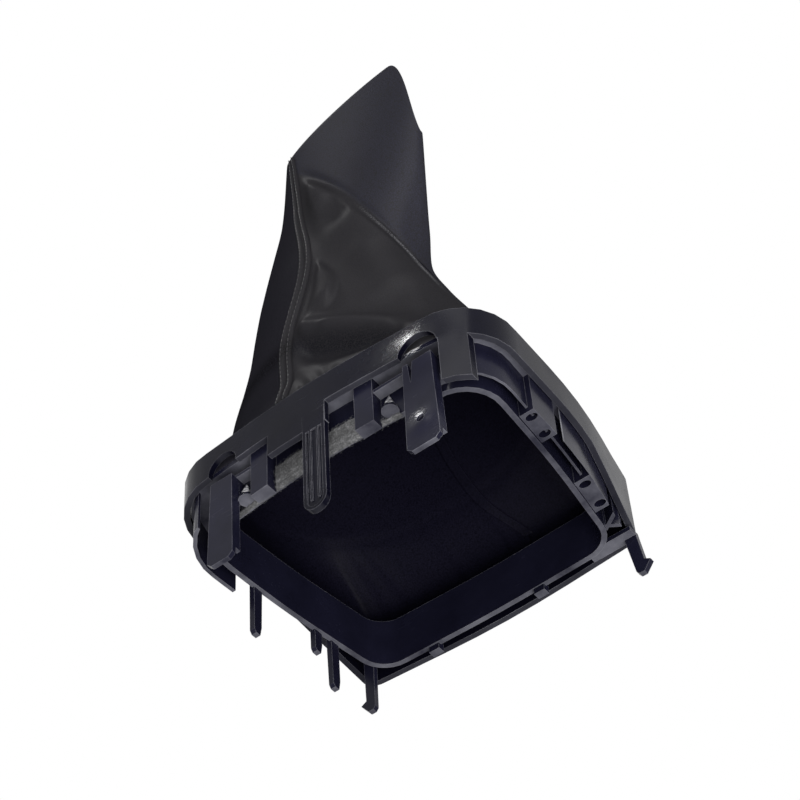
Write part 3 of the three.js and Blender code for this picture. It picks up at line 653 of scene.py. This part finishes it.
def thread_material(looks):
    """Waxed thread with a twist."""
    material, tree, shader = new_material("thread", specular_ior_level=0.3, roughness=0.6)
    where = put(tree, "ShaderNodeTexCoord").outputs["Object"]
    twist = put(tree, "ShaderNodeTexWave", {"Vector": where, "Scale": 600.0, "Distortion": 1.5})
    wax = looks.thread_colour
    colour = blended(tree, twist.outputs["Fac"], toned(wax, 0.6), toned(wax, 1.2))
    tree.links.new(colour, shader.inputs["Base Color"])
    bump = put(tree, "ShaderNodeBump", {
        "Height": twist.outputs["Fac"], "Strength": 0.5, "Distance": 0.05 * MM})
    tree.links.new(bump.outputs["Normal"], shader.inputs["Normal"])
    return material


def shared_groups():
    """The shader groups that several materials use, made once."""
    makers = {"grain": leather_grain_group, "skin": moulded_skin_group, "edge": edge_group}
    names = {"grain": "Leather grain", "skin": "Moulded skin", "edge": "Edge mask"}
    return {key: bpy.data.node_groups.get(names[key]) or make() for key, make in makers.items()}


def softened_copy(node, name, edge_radius):
    """A copy of a moulded CAD node with its edges rounded and its curves shaded smooth."""
    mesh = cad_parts[node].data.copy()
    mesh.name = name
    body = bmesh.new()
    body.from_mesh(mesh)
    bmesh.ops.remove_doubles(body, verts=body.verts, dist=JOIN)
    bmesh.ops.dissolve_limit(body, angle_limit=math.radians(FLAT_ANGLE), verts=body.verts, edges=body.edges)
    body.to_mesh(mesh)
    body.free()
    mesh.shade_smooth()
    piece = link_mesh(name, mesh)
    bevel = piece.modifiers.new("rounded edges", "BEVEL")
    bevel.width = edge_radius
    bevel.segments = 2
    bevel.limit_method = "ANGLE"
    bevel.angle_limit = math.radians(EDGE_ANGLE)
    even = piece.modifiers.new("even shading", "WEIGHTED_NORMAL")
    even.mode = "FACE_AREA"
    even.weight = 80
    even.keep_sharp = False
    return baked(piece)


def stitch_tree():
    """Stitches laid along a path: one small rounded stitch every pitch, flat on the leather."""
    sockets = {
        "Path": "Geometry", "Pitch": "Float", "Length": "Float", "Thickness": "Float", "Thread": "Material"}
    tree, given, result = node_group("Stitches", "GeometryNodeTree", sockets, {"Stitches": "Geometry"})
    curve = put(tree, "GeometryNodeMeshToCurve", {"Mesh": given["Path"]})
    steps = put(tree, "GeometryNodeResampleCurve", {
        "Curve": curve.outputs[0], "Length": given["Pitch"]}, mode="LENGTH")
    size = put(tree, "ShaderNodeCombineXYZ", {
        "X": given["Length"], "Y": given["Thickness"], "Z": given["Thickness"]})
    ball = put(tree, "GeometryNodeMeshIcoSphere", {"Radius": 0.5, "Subdivisions": 2})
    stitch = put(tree, "GeometryNodeTransform", {"Geometry": ball.outputs["Mesh"], "Scale": size.outputs[0]})
    along = put(tree, "GeometryNodeInputTangent")
    up = put(tree, "GeometryNodeInputNamedAttribute", {"Name": "out"}, data_type="FLOAT_VECTOR")
    lengthwise = put(tree, "FunctionNodeAlignRotationToVector", {"Vector": along.outputs[0]}, axis="X")
    upright = put(tree, "FunctionNodeAlignRotationToVector", {
        "Rotation": lengthwise.outputs[0], "Vector": up.outputs["Attribute"]}, axis="Z", pivot_axis="X")
    laid = put(tree, "GeometryNodeInstanceOnPoints", {
        "Points": steps.outputs[0], "Instance": stitch.outputs[0], "Rotation": upright.outputs[0]})
    real = put(tree, "GeometryNodeRealizeInstances", {"Geometry": laid.outputs[0]})
    smooth = put(tree, "GeometryNodeSetShadeSmooth", {"Geometry": real.outputs[0]})
    done = put(tree, "GeometryNodeSetMaterial", {"Geometry": smooth.outputs[0], "Material": given["Thread"]})
    tree.links.new(done.outputs[0], result[0])
    return tree


def fibre_tree():
    """Loose fibres standing on a textile: thin bent hairs, scattered with a fixed seed."""
    sockets = {
        "Textile": "Geometry", "Density": "Float", "Length": "Float", "Thickness": "Float", "Seed": "Int",
        "Fibre": "Material"}
    tree, given, result = node_group("Loose fibres", "GeometryNodeTree", sockets, {"Fibres": "Geometry"})
    spots = put(tree, "GeometryNodeDistributePointsOnFaces", {
        "Mesh": given["Textile"], "Density": given["Density"], "Seed": given["Seed"]})
    arc = put(tree, "GeometryNodeCurveArc", {"Resolution": 5, "Radius": given["Length"], "Sweep Angle": 1.3})
    section = put(tree, "GeometryNodeCurvePrimitiveCircle", {"Resolution": 3, "Radius": given["Thickness"]})
    hair = put(tree, "GeometryNodeCurveToMesh", {
        "Curve": arc.outputs[0], "Profile Curve": section.outputs[0], "Fill Caps": True})
    turn = put(tree, "FunctionNodeRandomValue", {"Seed": given["Seed"]}, data_type="FLOAT_VECTOR")
    turn.inputs[0].default_value = (-1.2, -1.2, -3.1)
    turn.inputs[1].default_value = (1.2, 1.2, 3.1)
    tilt = put(tree, "FunctionNodeEulerToRotation", {"Euler": turn.outputs[0]})
    turned = put(tree, "FunctionNodeRotateRotation", {
        "Rotation": spots.outputs["Rotation"], "Rotate By": tilt.outputs[0]}, rotation_space="LOCAL")
    laid = put(tree, "GeometryNodeInstanceOnPoints", {
        "Points": spots.outputs["Points"], "Instance": hair.outputs[0], "Rotation": turned.outputs[0]})
    real = put(tree, "GeometryNodeRealizeInstances", {"Geometry": laid.outputs[0]})
    done = put(tree, "GeometryNodeSetMaterial", {"Geometry": real.outputs[0], "Material": given["Fibre"]})
    tree.links.new(done.outputs[0], result[0])
    return tree


def run_nodes(piece, tree, **values):
    """Runs a Geometry Nodes tree on a piece, its inputs set by identifier, and keeps the plain mesh."""
    modifier = piece.modifiers.new(tree.name, "NODES")
    modifier.node_group = tree
    for item in tree.interface.items_tree:
        if item.in_out == "INPUT" and item.name in values:
            modifier[item.identifier] = values[item.name]
    return baked(piece)


def boot_grid(looks, turned, inward):
    """A grid of points over half of the boot, from one seam round to the other."""
    rise = np.linspace(0, 1, looks.rows)[:, None]
    share = np.linspace(0, 1, looks.columns)[None, :]
    girth = station(3, RING_HEIGHT + (BOOT_TOP - RING_HEIGHT) * rise)
    edge = PANEL_GAP / 2 / girth
    angle = seam_angle(rise) + turned + edge + (math.pi - 2 * edge) * share
    return boot_points(angle, np.broadcast_to(rise, angle.shape), looks, inward)


def seam_frame(looks, turned, rise, beside):
    """Points on the boot beside a seam, with the direction out of the leather there."""
    angle = seam_angle(rise) + turned
    girth = station(3, RING_HEIGHT + (BOOT_TOP - RING_HEIGHT) * rise)
    angle = angle + beside / girth
    step = 0.012
    spot = boot_points(angle, rise, looks)
    along = boot_points(angle, rise + step, looks) - boot_points(angle, rise - step, looks)
    round_way = boot_points(angle + step, rise, looks) - boot_points(angle - step, rise, looks)
    out = np.cross(round_way, along)
    return spot, out / np.linalg.norm(out, axis=-1, keepdims=True)


def seam_rises(count):
    """Even steps along a seam, from just above the bezel to just under the rim."""
    low = (BEZEL_TOP + SEAM_END - RING_HEIGHT) / (BOOT_TOP - RING_HEIGHT)
    high = 1 - SEAM_END / BOOT_TOP
    return np.linspace(low, high, count)


def welt_mesh(name, looks, turned):
    """The folded welt on a seam: two soft ridges with a groove between them."""
    rise = seam_rises(220)[:, None]
    share = np.linspace(-1, 1, 25)[None, :]
    beside = np.broadcast_to(share * looks.seam_width / 2, (len(rise), share.shape[1]))
    rise = np.broadcast_to(rise, beside.shape)
    spot, out = seam_frame(looks, turned, rise, beside)
    ridge = np.clip(1 - ((np.abs(share) - WELT_RIDGE) / WELT_RIDGE_WIDTH) ** 2, 0, 1) ** WELT_ROUND
    lift = (looks.seam_height * ridge)[..., None]
    return shell_mesh(name, spot + out * (lift + WELT_OVER), spot - out * WELT_UNDER)


def tape_mesh(name, looks, turned):
    """The thin textile tape inside the boot that covers a seam."""
    rise = seam_rises(120)[:, None]
    beside = np.linspace(-1, 1, 9)[None, :] * TAPE_WIDTH / 2 + 0 * rise
    spot, out = seam_frame(looks, turned, np.broadcast_to(rise, beside.shape), beside)
    outer = LEATHER + TAPE_OFF
    mesh = shell_mesh(name, spot - out * outer, spot - out * (outer + TAPE))
    mesh.attributes["inside"].data.foreach_set("value", np.ones(len(mesh.vertices)))
    return mesh


def stitch_path(name, looks, turned, beside):
    """An edge path on top of one ridge of the welt, with the way out of the leather stored on it."""
    rise = seam_rises(400)
    spot, out = seam_frame(looks, turned, rise, np.full(rise.shape, beside))
    points = spot + out * (looks.seam_height * STITCH_SEAT)
    mesh = bpy.data.meshes.new(name)
    mesh.from_pydata(points.tolist(), [(i, i + 1) for i in range(len(points) - 1)], [])
    up = mesh.attributes.new("out", "FLOAT_VECTOR", "POINT")
    up.data.foreach_set("vector", out.ravel())
    return link_mesh(name, mesh)


def wall_front(across):
    """Where the face of the ring's bowed front wall lies."""
    turn = math.cos(math.pi * (across - RING_MIDDLE.x) / (2 * WALL_HALF))
    return WALL_FRONT - WALL_BOW * max(turn, 0.0) ** 1.2


def add_hem_edge(mesh):
    """Adds the raw edge of the textile, folded under the ring's front wall."""
    body = bmesh.new()
    body.from_mesh(mesh)
    low, high = (RING_MIDDLE.z + rise for rise in HEM_EDGE_RISE)
    loops = []
    for x in np.linspace(*HEM_EDGE_ENDS, 90):
        front, back = (wall_front(x) + off for off in HEM_EDGE_FACE)
        corners = ((front, low), (back, low), (back, high), (front, high))
        loops.append([body.verts.new((x, y, z)) for y, z in corners])
    for one, two in zip(loops, loops[1:]):
        for i in range(4):
            body.faces.new((one[i], one[(i + 1) % 4], two[(i + 1) % 4], two[i]))
    body.faces.new(loops[0][::-1])
    body.faces.new(loops[-1])
    bmesh.ops.recalc_face_normals(body, faces=body.faces)
    body.to_mesh(mesh)
    body.free()


def pin_material():
    """Bright scratched metal."""
    material, tree, shader = new_material("bright_pin", metallic=1.0)
    where = put(tree, "ShaderNodeTexCoord").outputs["Object"]
    scuff = put(tree, "ShaderNodeTexNoise", {"Vector": where, "Scale": 900.0, "Detail": 4.0})
    tree.links.new(blended(tree, scuff.outputs["Fac"], (0.30, 0.30, 0.31, 1), (0.85, 0.85, 0.86, 1)),
                   shader.inputs["Base Color"])
    tree.links.new(spread(tree, scuff.outputs["Fac"], 0.3, 0.7, 0.15, 0.4), shader.inputs["Roughness"])
    return material


def pin_mesh(name, across):
    """The bright six-sided point on one lug of the ring."""
    body = bmesh.new()
    bmesh.ops.create_cone(body, cap_ends=True, segments=6, radius1=PIN_RADIUS, radius2=0.0, depth=PIN_HEIGHT)
    middle = Vector((across, wall_front(across) - LUG_STAND, RING_MIDDLE.z + PIN_LOW + PIN_HEIGHT / 2))
    bmesh.ops.translate(body, verts=body.verts, vec=middle)
    mesh = bpy.data.meshes.new(name)
    body.to_mesh(mesh)
    body.free()
    return mesh


class BootLooks(bpy.types.PropertyGroup):
    """Sizes and colours of the sewn boot."""
    colour: FloatVectorProperty(
        name="Leather colour", description="Base colour of the leatherette", subtype="COLOR",
        default=(0.025, 0.024, 0.027), min=0, max=1)
    # Painted light: the bluer colour above the long fold stands for the cool light that the flap faces
    flap_lit_colour: FloatVectorProperty(
        name="Flap colour", description="Base colour above the long fold", subtype="COLOR",
        default=(0.026, 0.026, 0.037), min=0, max=1)
    # Painted highlight: the light colour along the long fold's ridge
    ridge_highlight_colour: FloatVectorProperty(
        name="Ridge colour", description="Colour of the long fold's rubbed ridge", subtype="COLOR",
        default=(0.15, 0.15, 0.16), min=0, max=1)
    # Painted shade: the left half is given a darker colour for the shade it stands in
    left_colour: FloatVectorProperty(
        name="Left colour", description="Base colour of the left half", subtype="COLOR",
        default=(0.015, 0.0145, 0.019), min=0, max=1)
    lining_colour: FloatVectorProperty(
        name="Lining colour", description="Base colour of the knitted inner side", subtype="COLOR",
        default=(0.0052, 0.0048, 0.0102), min=0, max=1)
    thread_colour: FloatVectorProperty(
        name="Thread colour", description="Base colour of the stitches", subtype="COLOR",
        default=(0.014, 0.014, 0.018), min=0, max=1)
    gloss: FloatProperty(
        name="Gloss", description="Weight of the leatherette's skin", default=0.014, min=0, max=1)
    left_gloss: FloatProperty(
        name="Left gloss", description="Weight of the left half's skin", default=0.005, min=0, max=1)
    roughness: FloatProperty(name="Roughness", description="Middle roughness", default=0.50, min=0, max=1)
    grain_size: FloatProperty(
        name="Grain size", description="Width of one pebble of the grain", unit="LENGTH", default=1.0 * MM)
    grain_depth: FloatProperty(
        name="Grain depth", description="Strength of the grain", default=0.35, min=0, max=1)
    fold_stand: FloatProperty(
        name="Fold", description="How far the long fold stands out", unit="LENGTH", default=4.0 * MM)
    ridge_stand: FloatProperty(
        name="Fold ridge", description="How far the fold's sharp edge stands out", unit="LENGTH",
        default=1.4 * MM)
    lobe_stand: FloatProperty(
        name="Lobe", description="How far the slack lobe beside the seam stands out", unit="LENGTH",
        default=3.0 * MM)
    roll_stand: FloatProperty(
        name="Roll", description="How far the roll at the foot stands out", unit="LENGTH", default=4.5 * MM)
    wave_stand: FloatProperty(
        name="Waves", description="Height of the broad folds of the other sides", unit="LENGTH",
        default=2.0 * MM)
    seam_width: FloatProperty(
        name="Seam width", description="Width of the welt", unit="LENGTH", default=7.4 * MM)
    seam_height: FloatProperty(
        name="Seam height", description="Height of the welt's ridges", unit="LENGTH", default=1.3 * MM)
    stitch_pitch: FloatProperty(
        name="Stitch pitch", description="Distance from stitch to stitch", unit="LENGTH", default=3.4 * MM)
    stitch_length: FloatProperty(
        name="Stitch length", description="Length of one stitch", unit="LENGTH", default=2.7 * MM)
    thread_size: FloatProperty(
        name="Thread size", description="Thickness of the thread", unit="LENGTH", default=0.42 * MM)
    rows: IntProperty(name="Rows", description="Points up the boot", default=170, min=20)
    columns: IntProperty(name="Columns", description="Points round half of the boot", default=150, min=20)


class PlasticLooks(bpy.types.PropertyGroup):
    """Sizes and colours of the two mouldings."""
    bezel_colour: FloatVectorProperty(
        name="Bezel colour", description="Base colour of the bezel", subtype="COLOR",
        default=(0.0030, 0.0030, 0.0075), min=0, max=1)
    ring_colour: FloatVectorProperty(
        name="Ring colour", description="Base colour of the retaining ring", subtype="COLOR",
        default=(0.0080, 0.0080, 0.0175), min=0, max=1)
    # A light colour for scuffed edges, also used for painted highlights on edges and painted light on faces
    # that look down
    wear_and_light_colour: FloatVectorProperty(
        name="Wear colour", description="Colour of rubbed edges", subtype="COLOR",
        default=(0.28, 0.28, 0.31), min=0, max=1)
    # Its share on edges: scuffing and painted highlight
    edge_wear_and_highlight: FloatProperty(
        name="Edge wear", description="Share of the wear colour on edges", default=0.8, min=0, max=1)
    # Painted light: how much each moulding's faces that look down are lightened
    bezel_underlit: FloatProperty(
        name="Bezel dulled", description="Share of the wear colour on its faces that look down",
        default=0.10, min=0, max=1)
    ring_underlit: FloatProperty(
        name="Ring dulled", description="Share of the wear colour on its faces that look down",
        default=0.36, min=0, max=1)
    bezel_gloss: FloatProperty(
        name="Bezel gloss", description="Weight of the bezel's clear skin", default=0.008, min=0, max=1)
    ring_gloss: FloatProperty(
        name="Ring gloss", description="Weight of the ring's clear skin", default=0.024, min=0, max=1)
    bezel_roughness: FloatProperty(
        name="Bezel roughness", description="Middle roughness of the bezel", default=0.24, min=0.07, max=0.9)
    ring_roughness: FloatProperty(
        name="Ring roughness", description="Middle roughness of the ring", default=0.21, min=0.07, max=0.9)
    bezel_grain: FloatProperty(
        name="Bezel grain", description="Strength of the bezel's fine grain", default=0.02, min=0, max=1)
    ring_grain: FloatProperty(
        name="Ring grain", description="Strength of the ring's fine grain", default=0.04, min=0, max=1)
    edge_radius: FloatProperty(
        name="Edge radius", description="Rounding of the moulded edges", unit="LENGTH", default=0.35 * MM)


class HemLooks(bpy.types.PropertyGroup):
    """Sizes and colours of the raw hem."""
    colour: FloatVectorProperty(
        name="Textile colour", description="Base colour of the raw textile", subtype="COLOR",
        default=(0.21, 0.21, 0.215), min=0, max=1)
    loop_size: FloatProperty(
        name="Loop size", description="Size of one knitted loop", unit="LENGTH", default=0.8 * MM)
    fibre_length: FloatProperty(
        name="Fibre length", description="Length of a loose fibre", unit="LENGTH", default=0.9 * MM)
    fibre_size: FloatProperty(
        name="Fibre size", description="Thickness of a loose fibre", unit="LENGTH", default=0.045 * MM)
    fibre_density: FloatProperty(
        name="Fibre density", description="Fibres on a square metre", default=2.2e6, min=0)
    seed: IntProperty(name="Seed", description="Seed of the tufts and the loose fibres", default=7)


class StageLooks(bpy.types.PropertyGroup):
    """Floor, lamps and camera."""
    floor_colour: FloatVectorProperty(
        name="Floor colour", description="Base colour of the floor", subtype="COLOR",
        default=(0.80, 0.80, 0.80), min=0, max=1)
    floor_size: FloatProperty(
        name="Floor size", description="Side of the floor", unit="LENGTH", default=8.0)
    sky_level: FloatProperty(
        name="Sky level", description="Strength of the soft light from all round", default=0.22)
    key_power: FloatProperty(
        name="Key power", description="Power of the key lamp", unit="POWER", default=10.5)
    fill_power: FloatProperty(
        name="Fill power", description="Power of the fill lamp", unit="POWER", default=5.5)
    low_power: FloatProperty(
        name="Low power", description="Power of the lamp below", unit="POWER", default=22.0)
    glint_power: FloatProperty(
        name="Glint power", description="Power of the small lamp that draws highlights", unit="POWER",
        default=6.0)


class GAITER_OT_mouldings(bpy.types.Operator):
    """Finishes the bezel and the retaining ring: rounded edges, moulded plastic and bright lug points"""
    bl_idname = "gaiter.mouldings"
    bl_label = "Bezel and ring"

    def execute(self, context):
        looks = context.scene.gaiter_plastic
        groups = shared_groups()
        mouldings = (("bezel", "bezel", "bezel_band"), ("ring", "retaining_ring", "ring_moulding"))
        for word, node, name in mouldings:
            finish = {
                part: getattr(looks, f"{word}_{part}")
                for part in ("colour", "gloss", "roughness", "grain", "underlit")}
            slot = word + "_plastic"
            piece = softened_copy(node, name, looks.edge_radius)
            give(piece, plastic_material(slot, looks, groups, **finish), slot, node)
        metal = pin_material()
        for word, across in zip(("left", "right"), LUGS_ACROSS):
            name = f"lug_point_{word}"
            give(link_mesh(name, pin_mesh(name, across)), metal, "ring_plastic")
        return {"FINISHED"}


class GAITER_OT_boot(bpy.types.Operator):
    """Makes the two sewn halves of the boot, with their folds and creases"""
    bl_idname = "gaiter.boot"
    bl_label = "Boot"

    def execute(self, context):
        looks = context.scene.gaiter_boot
        # The left half's darker colour is painted shade
        halves = (
            ("right_panel", 0.0, looks.colour, looks.flap_lit_colour, looks.gloss),
            ("left_panel", math.pi, looks.left_colour, looks.left_colour, looks.left_gloss),
        )
        for node, turned, colour, flap_lit_colour, gloss in halves:
            material = leather_material(node, looks, shared_groups(), colour, flap_lit_colour, gloss)
            name = node + "_leather"
            mesh = shell_mesh(name, boot_grid(looks, turned, 0.0), boot_grid(looks, turned, LEATHER))
            give(link_mesh(name, mesh), material, "leatherette", node)
        return {"FINISHED"}


class GAITER_OT_seams(bpy.types.Operator):
    """Makes the welts on the two seams, the tapes behind them and the stitches along them"""
    bl_idname = "gaiter.seams"
    bl_label = "Seams"

    def execute(self, context):
        looks = context.scene.gaiter_boot
        colour = looks.colour
        material = leather_material("seam_leather", looks, shared_groups(), colour, colour, looks.gloss)
        thread = thread_material(looks)
        stitches = stitch_tree()
        for node, turned in (("front_seam", 0.0), ("rear_seam", math.pi)):
            welt = welt_mesh(node + "_welt", looks, turned)
            give(link_mesh(welt.name, welt), material, "seam", node)
            tape = tape_mesh(node + "_tape", looks, turned)
            give(link_mesh(tape.name, tape), material, "seam")
            for side, word in ((-1, "left"), (1, "right")):
                beside = side * looks.seam_width * STITCH_ROW
                path = stitch_path(f"{node}_stitches_{word}", looks, turned, beside)
                run_nodes(path, stitches, Pitch=looks.stitch_pitch, Length=looks.stitch_length,
                          Thickness=looks.thread_size, Thread=thread)
                give(path, thread, "seam")
        return {"FINISHED"}


class GAITER_OT_hem(bpy.types.Operator):
    """Makes the raw textile hem with its loose fibres"""
    bl_idname = "gaiter.hem"
    bl_label = "Hem"

    def execute(self, context):
        looks = context.scene.gaiter_hem
        material = textile_material(looks)
        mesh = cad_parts["hem_backing"].data.copy()
        add_hem_edge(mesh)
        fibres = link_mesh("hem_fibres", mesh.copy())
        hem = link_mesh("hem_cloth", mesh)
        remesh = hem.modifiers.new("even faces", "REMESH")
        remesh.mode = "VOXEL"
        remesh.voxel_size = CLOTH_FACE
        baked(hem)
        noise.seed_set(looks.seed)
        for vertex in hem.data.vertices:
            vertex.co += noise.noise_vector(vertex.co * TUFTS) * TUFT_STAND
        hem.data.shade_smooth()
        run_nodes(fibres, fibre_tree(), Density=looks.fibre_density, Length=looks.fibre_length,
                  Thickness=looks.fibre_size, Seed=looks.seed, Fibre=material)
        give(hem, material, "hem_textile", "hem_backing")
        give(fibres, material, "hem_textile")
        return {"FINISHED"}


def floor_material(looks):
    """A pale floor that shows its top side only, so the part can be looked at from below."""
    material, tree, shader = new_material("floor", roughness=0.8)
    where = put(tree, "ShaderNodeTexCoord").outputs["Object"]
    mottle = put(tree, "ShaderNodeTexNoise", {"Vector": where, "Scale": 6.0, "Detail": 3.0})
    tone = blended(tree, mottle.outputs["Fac"], toned(looks.floor_colour, 0.98), rgba(looks.floor_colour))
    tree.links.new(tone, shader.inputs["Base Color"])
    clear = put(tree, "ShaderNodeBsdfTransparent")
    below = put(tree, "ShaderNodeNewGeometry").outputs["Backfacing"]
    shadow = put(tree, "ShaderNodeLightPath").outputs["Is Shadow Ray"]
    open_way = math_node(tree, "MAXIMUM", below, shadow)
    mix = put(tree, "ShaderNodeMixShader", {0: open_way, 1: shader.outputs[0], 2: clear.outputs[0]})
    tree.links.new(mix.outputs[0], tree.nodes["Material Output"].inputs["Surface"])
    return material


def light_world(level):
    """Soft light from all round, and a white background for the camera, gloss and glass."""
    world = bpy.data.worlds.new("studio")
    bpy.context.scene.world = world
    world.use_nodes = True
    tree = world.node_tree
    path = put(tree, "ShaderNodeLightPath").outputs
    shown = math_node(tree, "MAXIMUM", path["Is Camera Ray"],
                      math_node(tree, "MAXIMUM", path["Is Glossy Ray"], path["Is Transmission Ray"]))
    soft = put(tree, "ShaderNodeBackground", {"Color": (1, 1, 1, 1), "Strength": level})
    white = put(tree, "ShaderNodeBackground", {"Color": (1, 1, 1, 1), "Strength": 1.0})
    mix = put(tree, "ShaderNodeMixShader", {0: shown, 1: soft.outputs[0], 2: white.outputs[0]})
    tree.links.new(mix.outputs[0], tree.nodes["World Output"].inputs["Surface"])


def add_lamp(name, direction, distance, size, power):
    """A square lamp that looks at the middle of the part."""
    lamp = bpy.data.lights.new(name, "AREA")
    lamp.shape = "SQUARE"
    lamp.size = size
    lamp.energy = power
    lamp_object = bpy.data.objects.new(name, lamp)
    middle = (Vector(cad_box[0]) + Vector(cad_box[1])) / 2
    way = Vector(direction).normalized()
    lamp_object.location = middle + way * distance
    lamp_object.rotation_euler = way.to_track_quat("Z", "Y").to_euler()
    bpy.context.scene.collection.objects.link(lamp_object)


def add_camera():
    """The camera at the photograph's view."""
    data = bpy.data.cameras.new("camera")
    data.lens = CAMERA_LENS
    data.sensor_width = CAMERA_SENSOR
    data.clip_start = 0.01
    camera = bpy.data.objects.new("camera", data)
    turn = (CAMERA_TARGET - CAMERA_EYE).to_track_quat("-Z", "Y")
    camera.matrix_world = turn.to_matrix().to_4x4()
    camera.rotation_euler.rotate_axis("Z", math.radians(CAMERA_ROLL))
    camera.location = CAMERA_EYE
    bpy.context.scene.collection.objects.link(camera)
    bpy.context.scene.camera = camera


class GAITER_OT_stage(bpy.types.Operator):
    """Sets up the floor, the lamps, the background and the camera"""
    bl_idname = "gaiter.stage"
    bl_label = "Stage"

    def execute(self, context):
        looks = context.scene.gaiter_stage
        half = looks.floor_size / 2
        mesh = bpy.data.meshes.new("floor")
        corners = [(-half, -half, 0), (half, -half, 0), (half, half, 0), (-half, half, 0)]
        mesh.from_pydata(corners, [], [(0, 1, 2, 3)])
        mesh.materials.append(floor_material(looks))
        link_mesh("floor", mesh)
        light_world(looks.sky_level)
        for name, (direction, distance, size) in LAMP_PLACES.items():
            add_lamp(name, direction, distance, size, getattr(looks, name + "_power"))
        add_camera()
        context.scene.view_settings.view_transform = "Standard"
        return {"FINISHED"}


class GAITER_PT_panel(bpy.types.Panel):
    """Lists the gaiter's steps and their values"""
    bl_idname = "GAITER_PT_panel"
    bl_label = "Gear lever gaiter"
    bl_space_type = "VIEW_3D"
    bl_region_type = "UI"
    bl_category = "Gaiter"

    def draw(self, context):
        for owner, operators in PANEL_ROWS:
            box = self.layout.box()
            for operator in operators:
                box.operator(operator.bl_idname)
            group = getattr(context.scene, owner)
            for name in group.bl_rna.properties.keys():
                if name not in ("rna_type", "name"):
                    box.prop(group, name)


OPERATORS = (GAITER_OT_mouldings, GAITER_OT_boot, GAITER_OT_seams, GAITER_OT_hem, GAITER_OT_stage)
PANEL_ROWS = (
    ("gaiter_plastic", (GAITER_OT_mouldings,)),
    ("gaiter_boot", (GAITER_OT_boot, GAITER_OT_seams)),
    ("gaiter_hem", (GAITER_OT_hem,)),
    ("gaiter_stage", (GAITER_OT_stage,)),
)
LOOKS = {
    "gaiter_plastic": PlasticLooks, "gaiter_boot": BootLooks,
    "gaiter_hem": HemLooks, "gaiter_stage": StageLooks,
}


def register():
    """Makes the classes and the scene's values known."""
    for group in LOOKS.values():
        bpy.utils.register_class(group)
    for operator in OPERATORS:
        bpy.utils.register_class(operator)
    bpy.utils.register_class(GAITER_PT_panel)
    for name, group in LOOKS.items():
        setattr(bpy.types.Scene, name, PointerProperty(type=group))


def unregister():
    """Takes away what register made."""
    for name in LOOKS:
        delattr(bpy.types.Scene, name)
    bpy.utils.unregister_class(GAITER_PT_panel)
    for operator in reversed(OPERATORS):
        bpy.utils.unregister_class(operator)
    for group in LOOKS.values():
        bpy.utils.unregister_class(group)


def main():
    """Builds the whole scene."""
    register()
    bpy.ops.gaiter.mouldings()
    bpy.ops.gaiter.boot()
    bpy.ops.gaiter.seams()
    bpy.ops.gaiter.hem()
    bpy.ops.gaiter.stage()


if __name__ == "__main__":
    main()
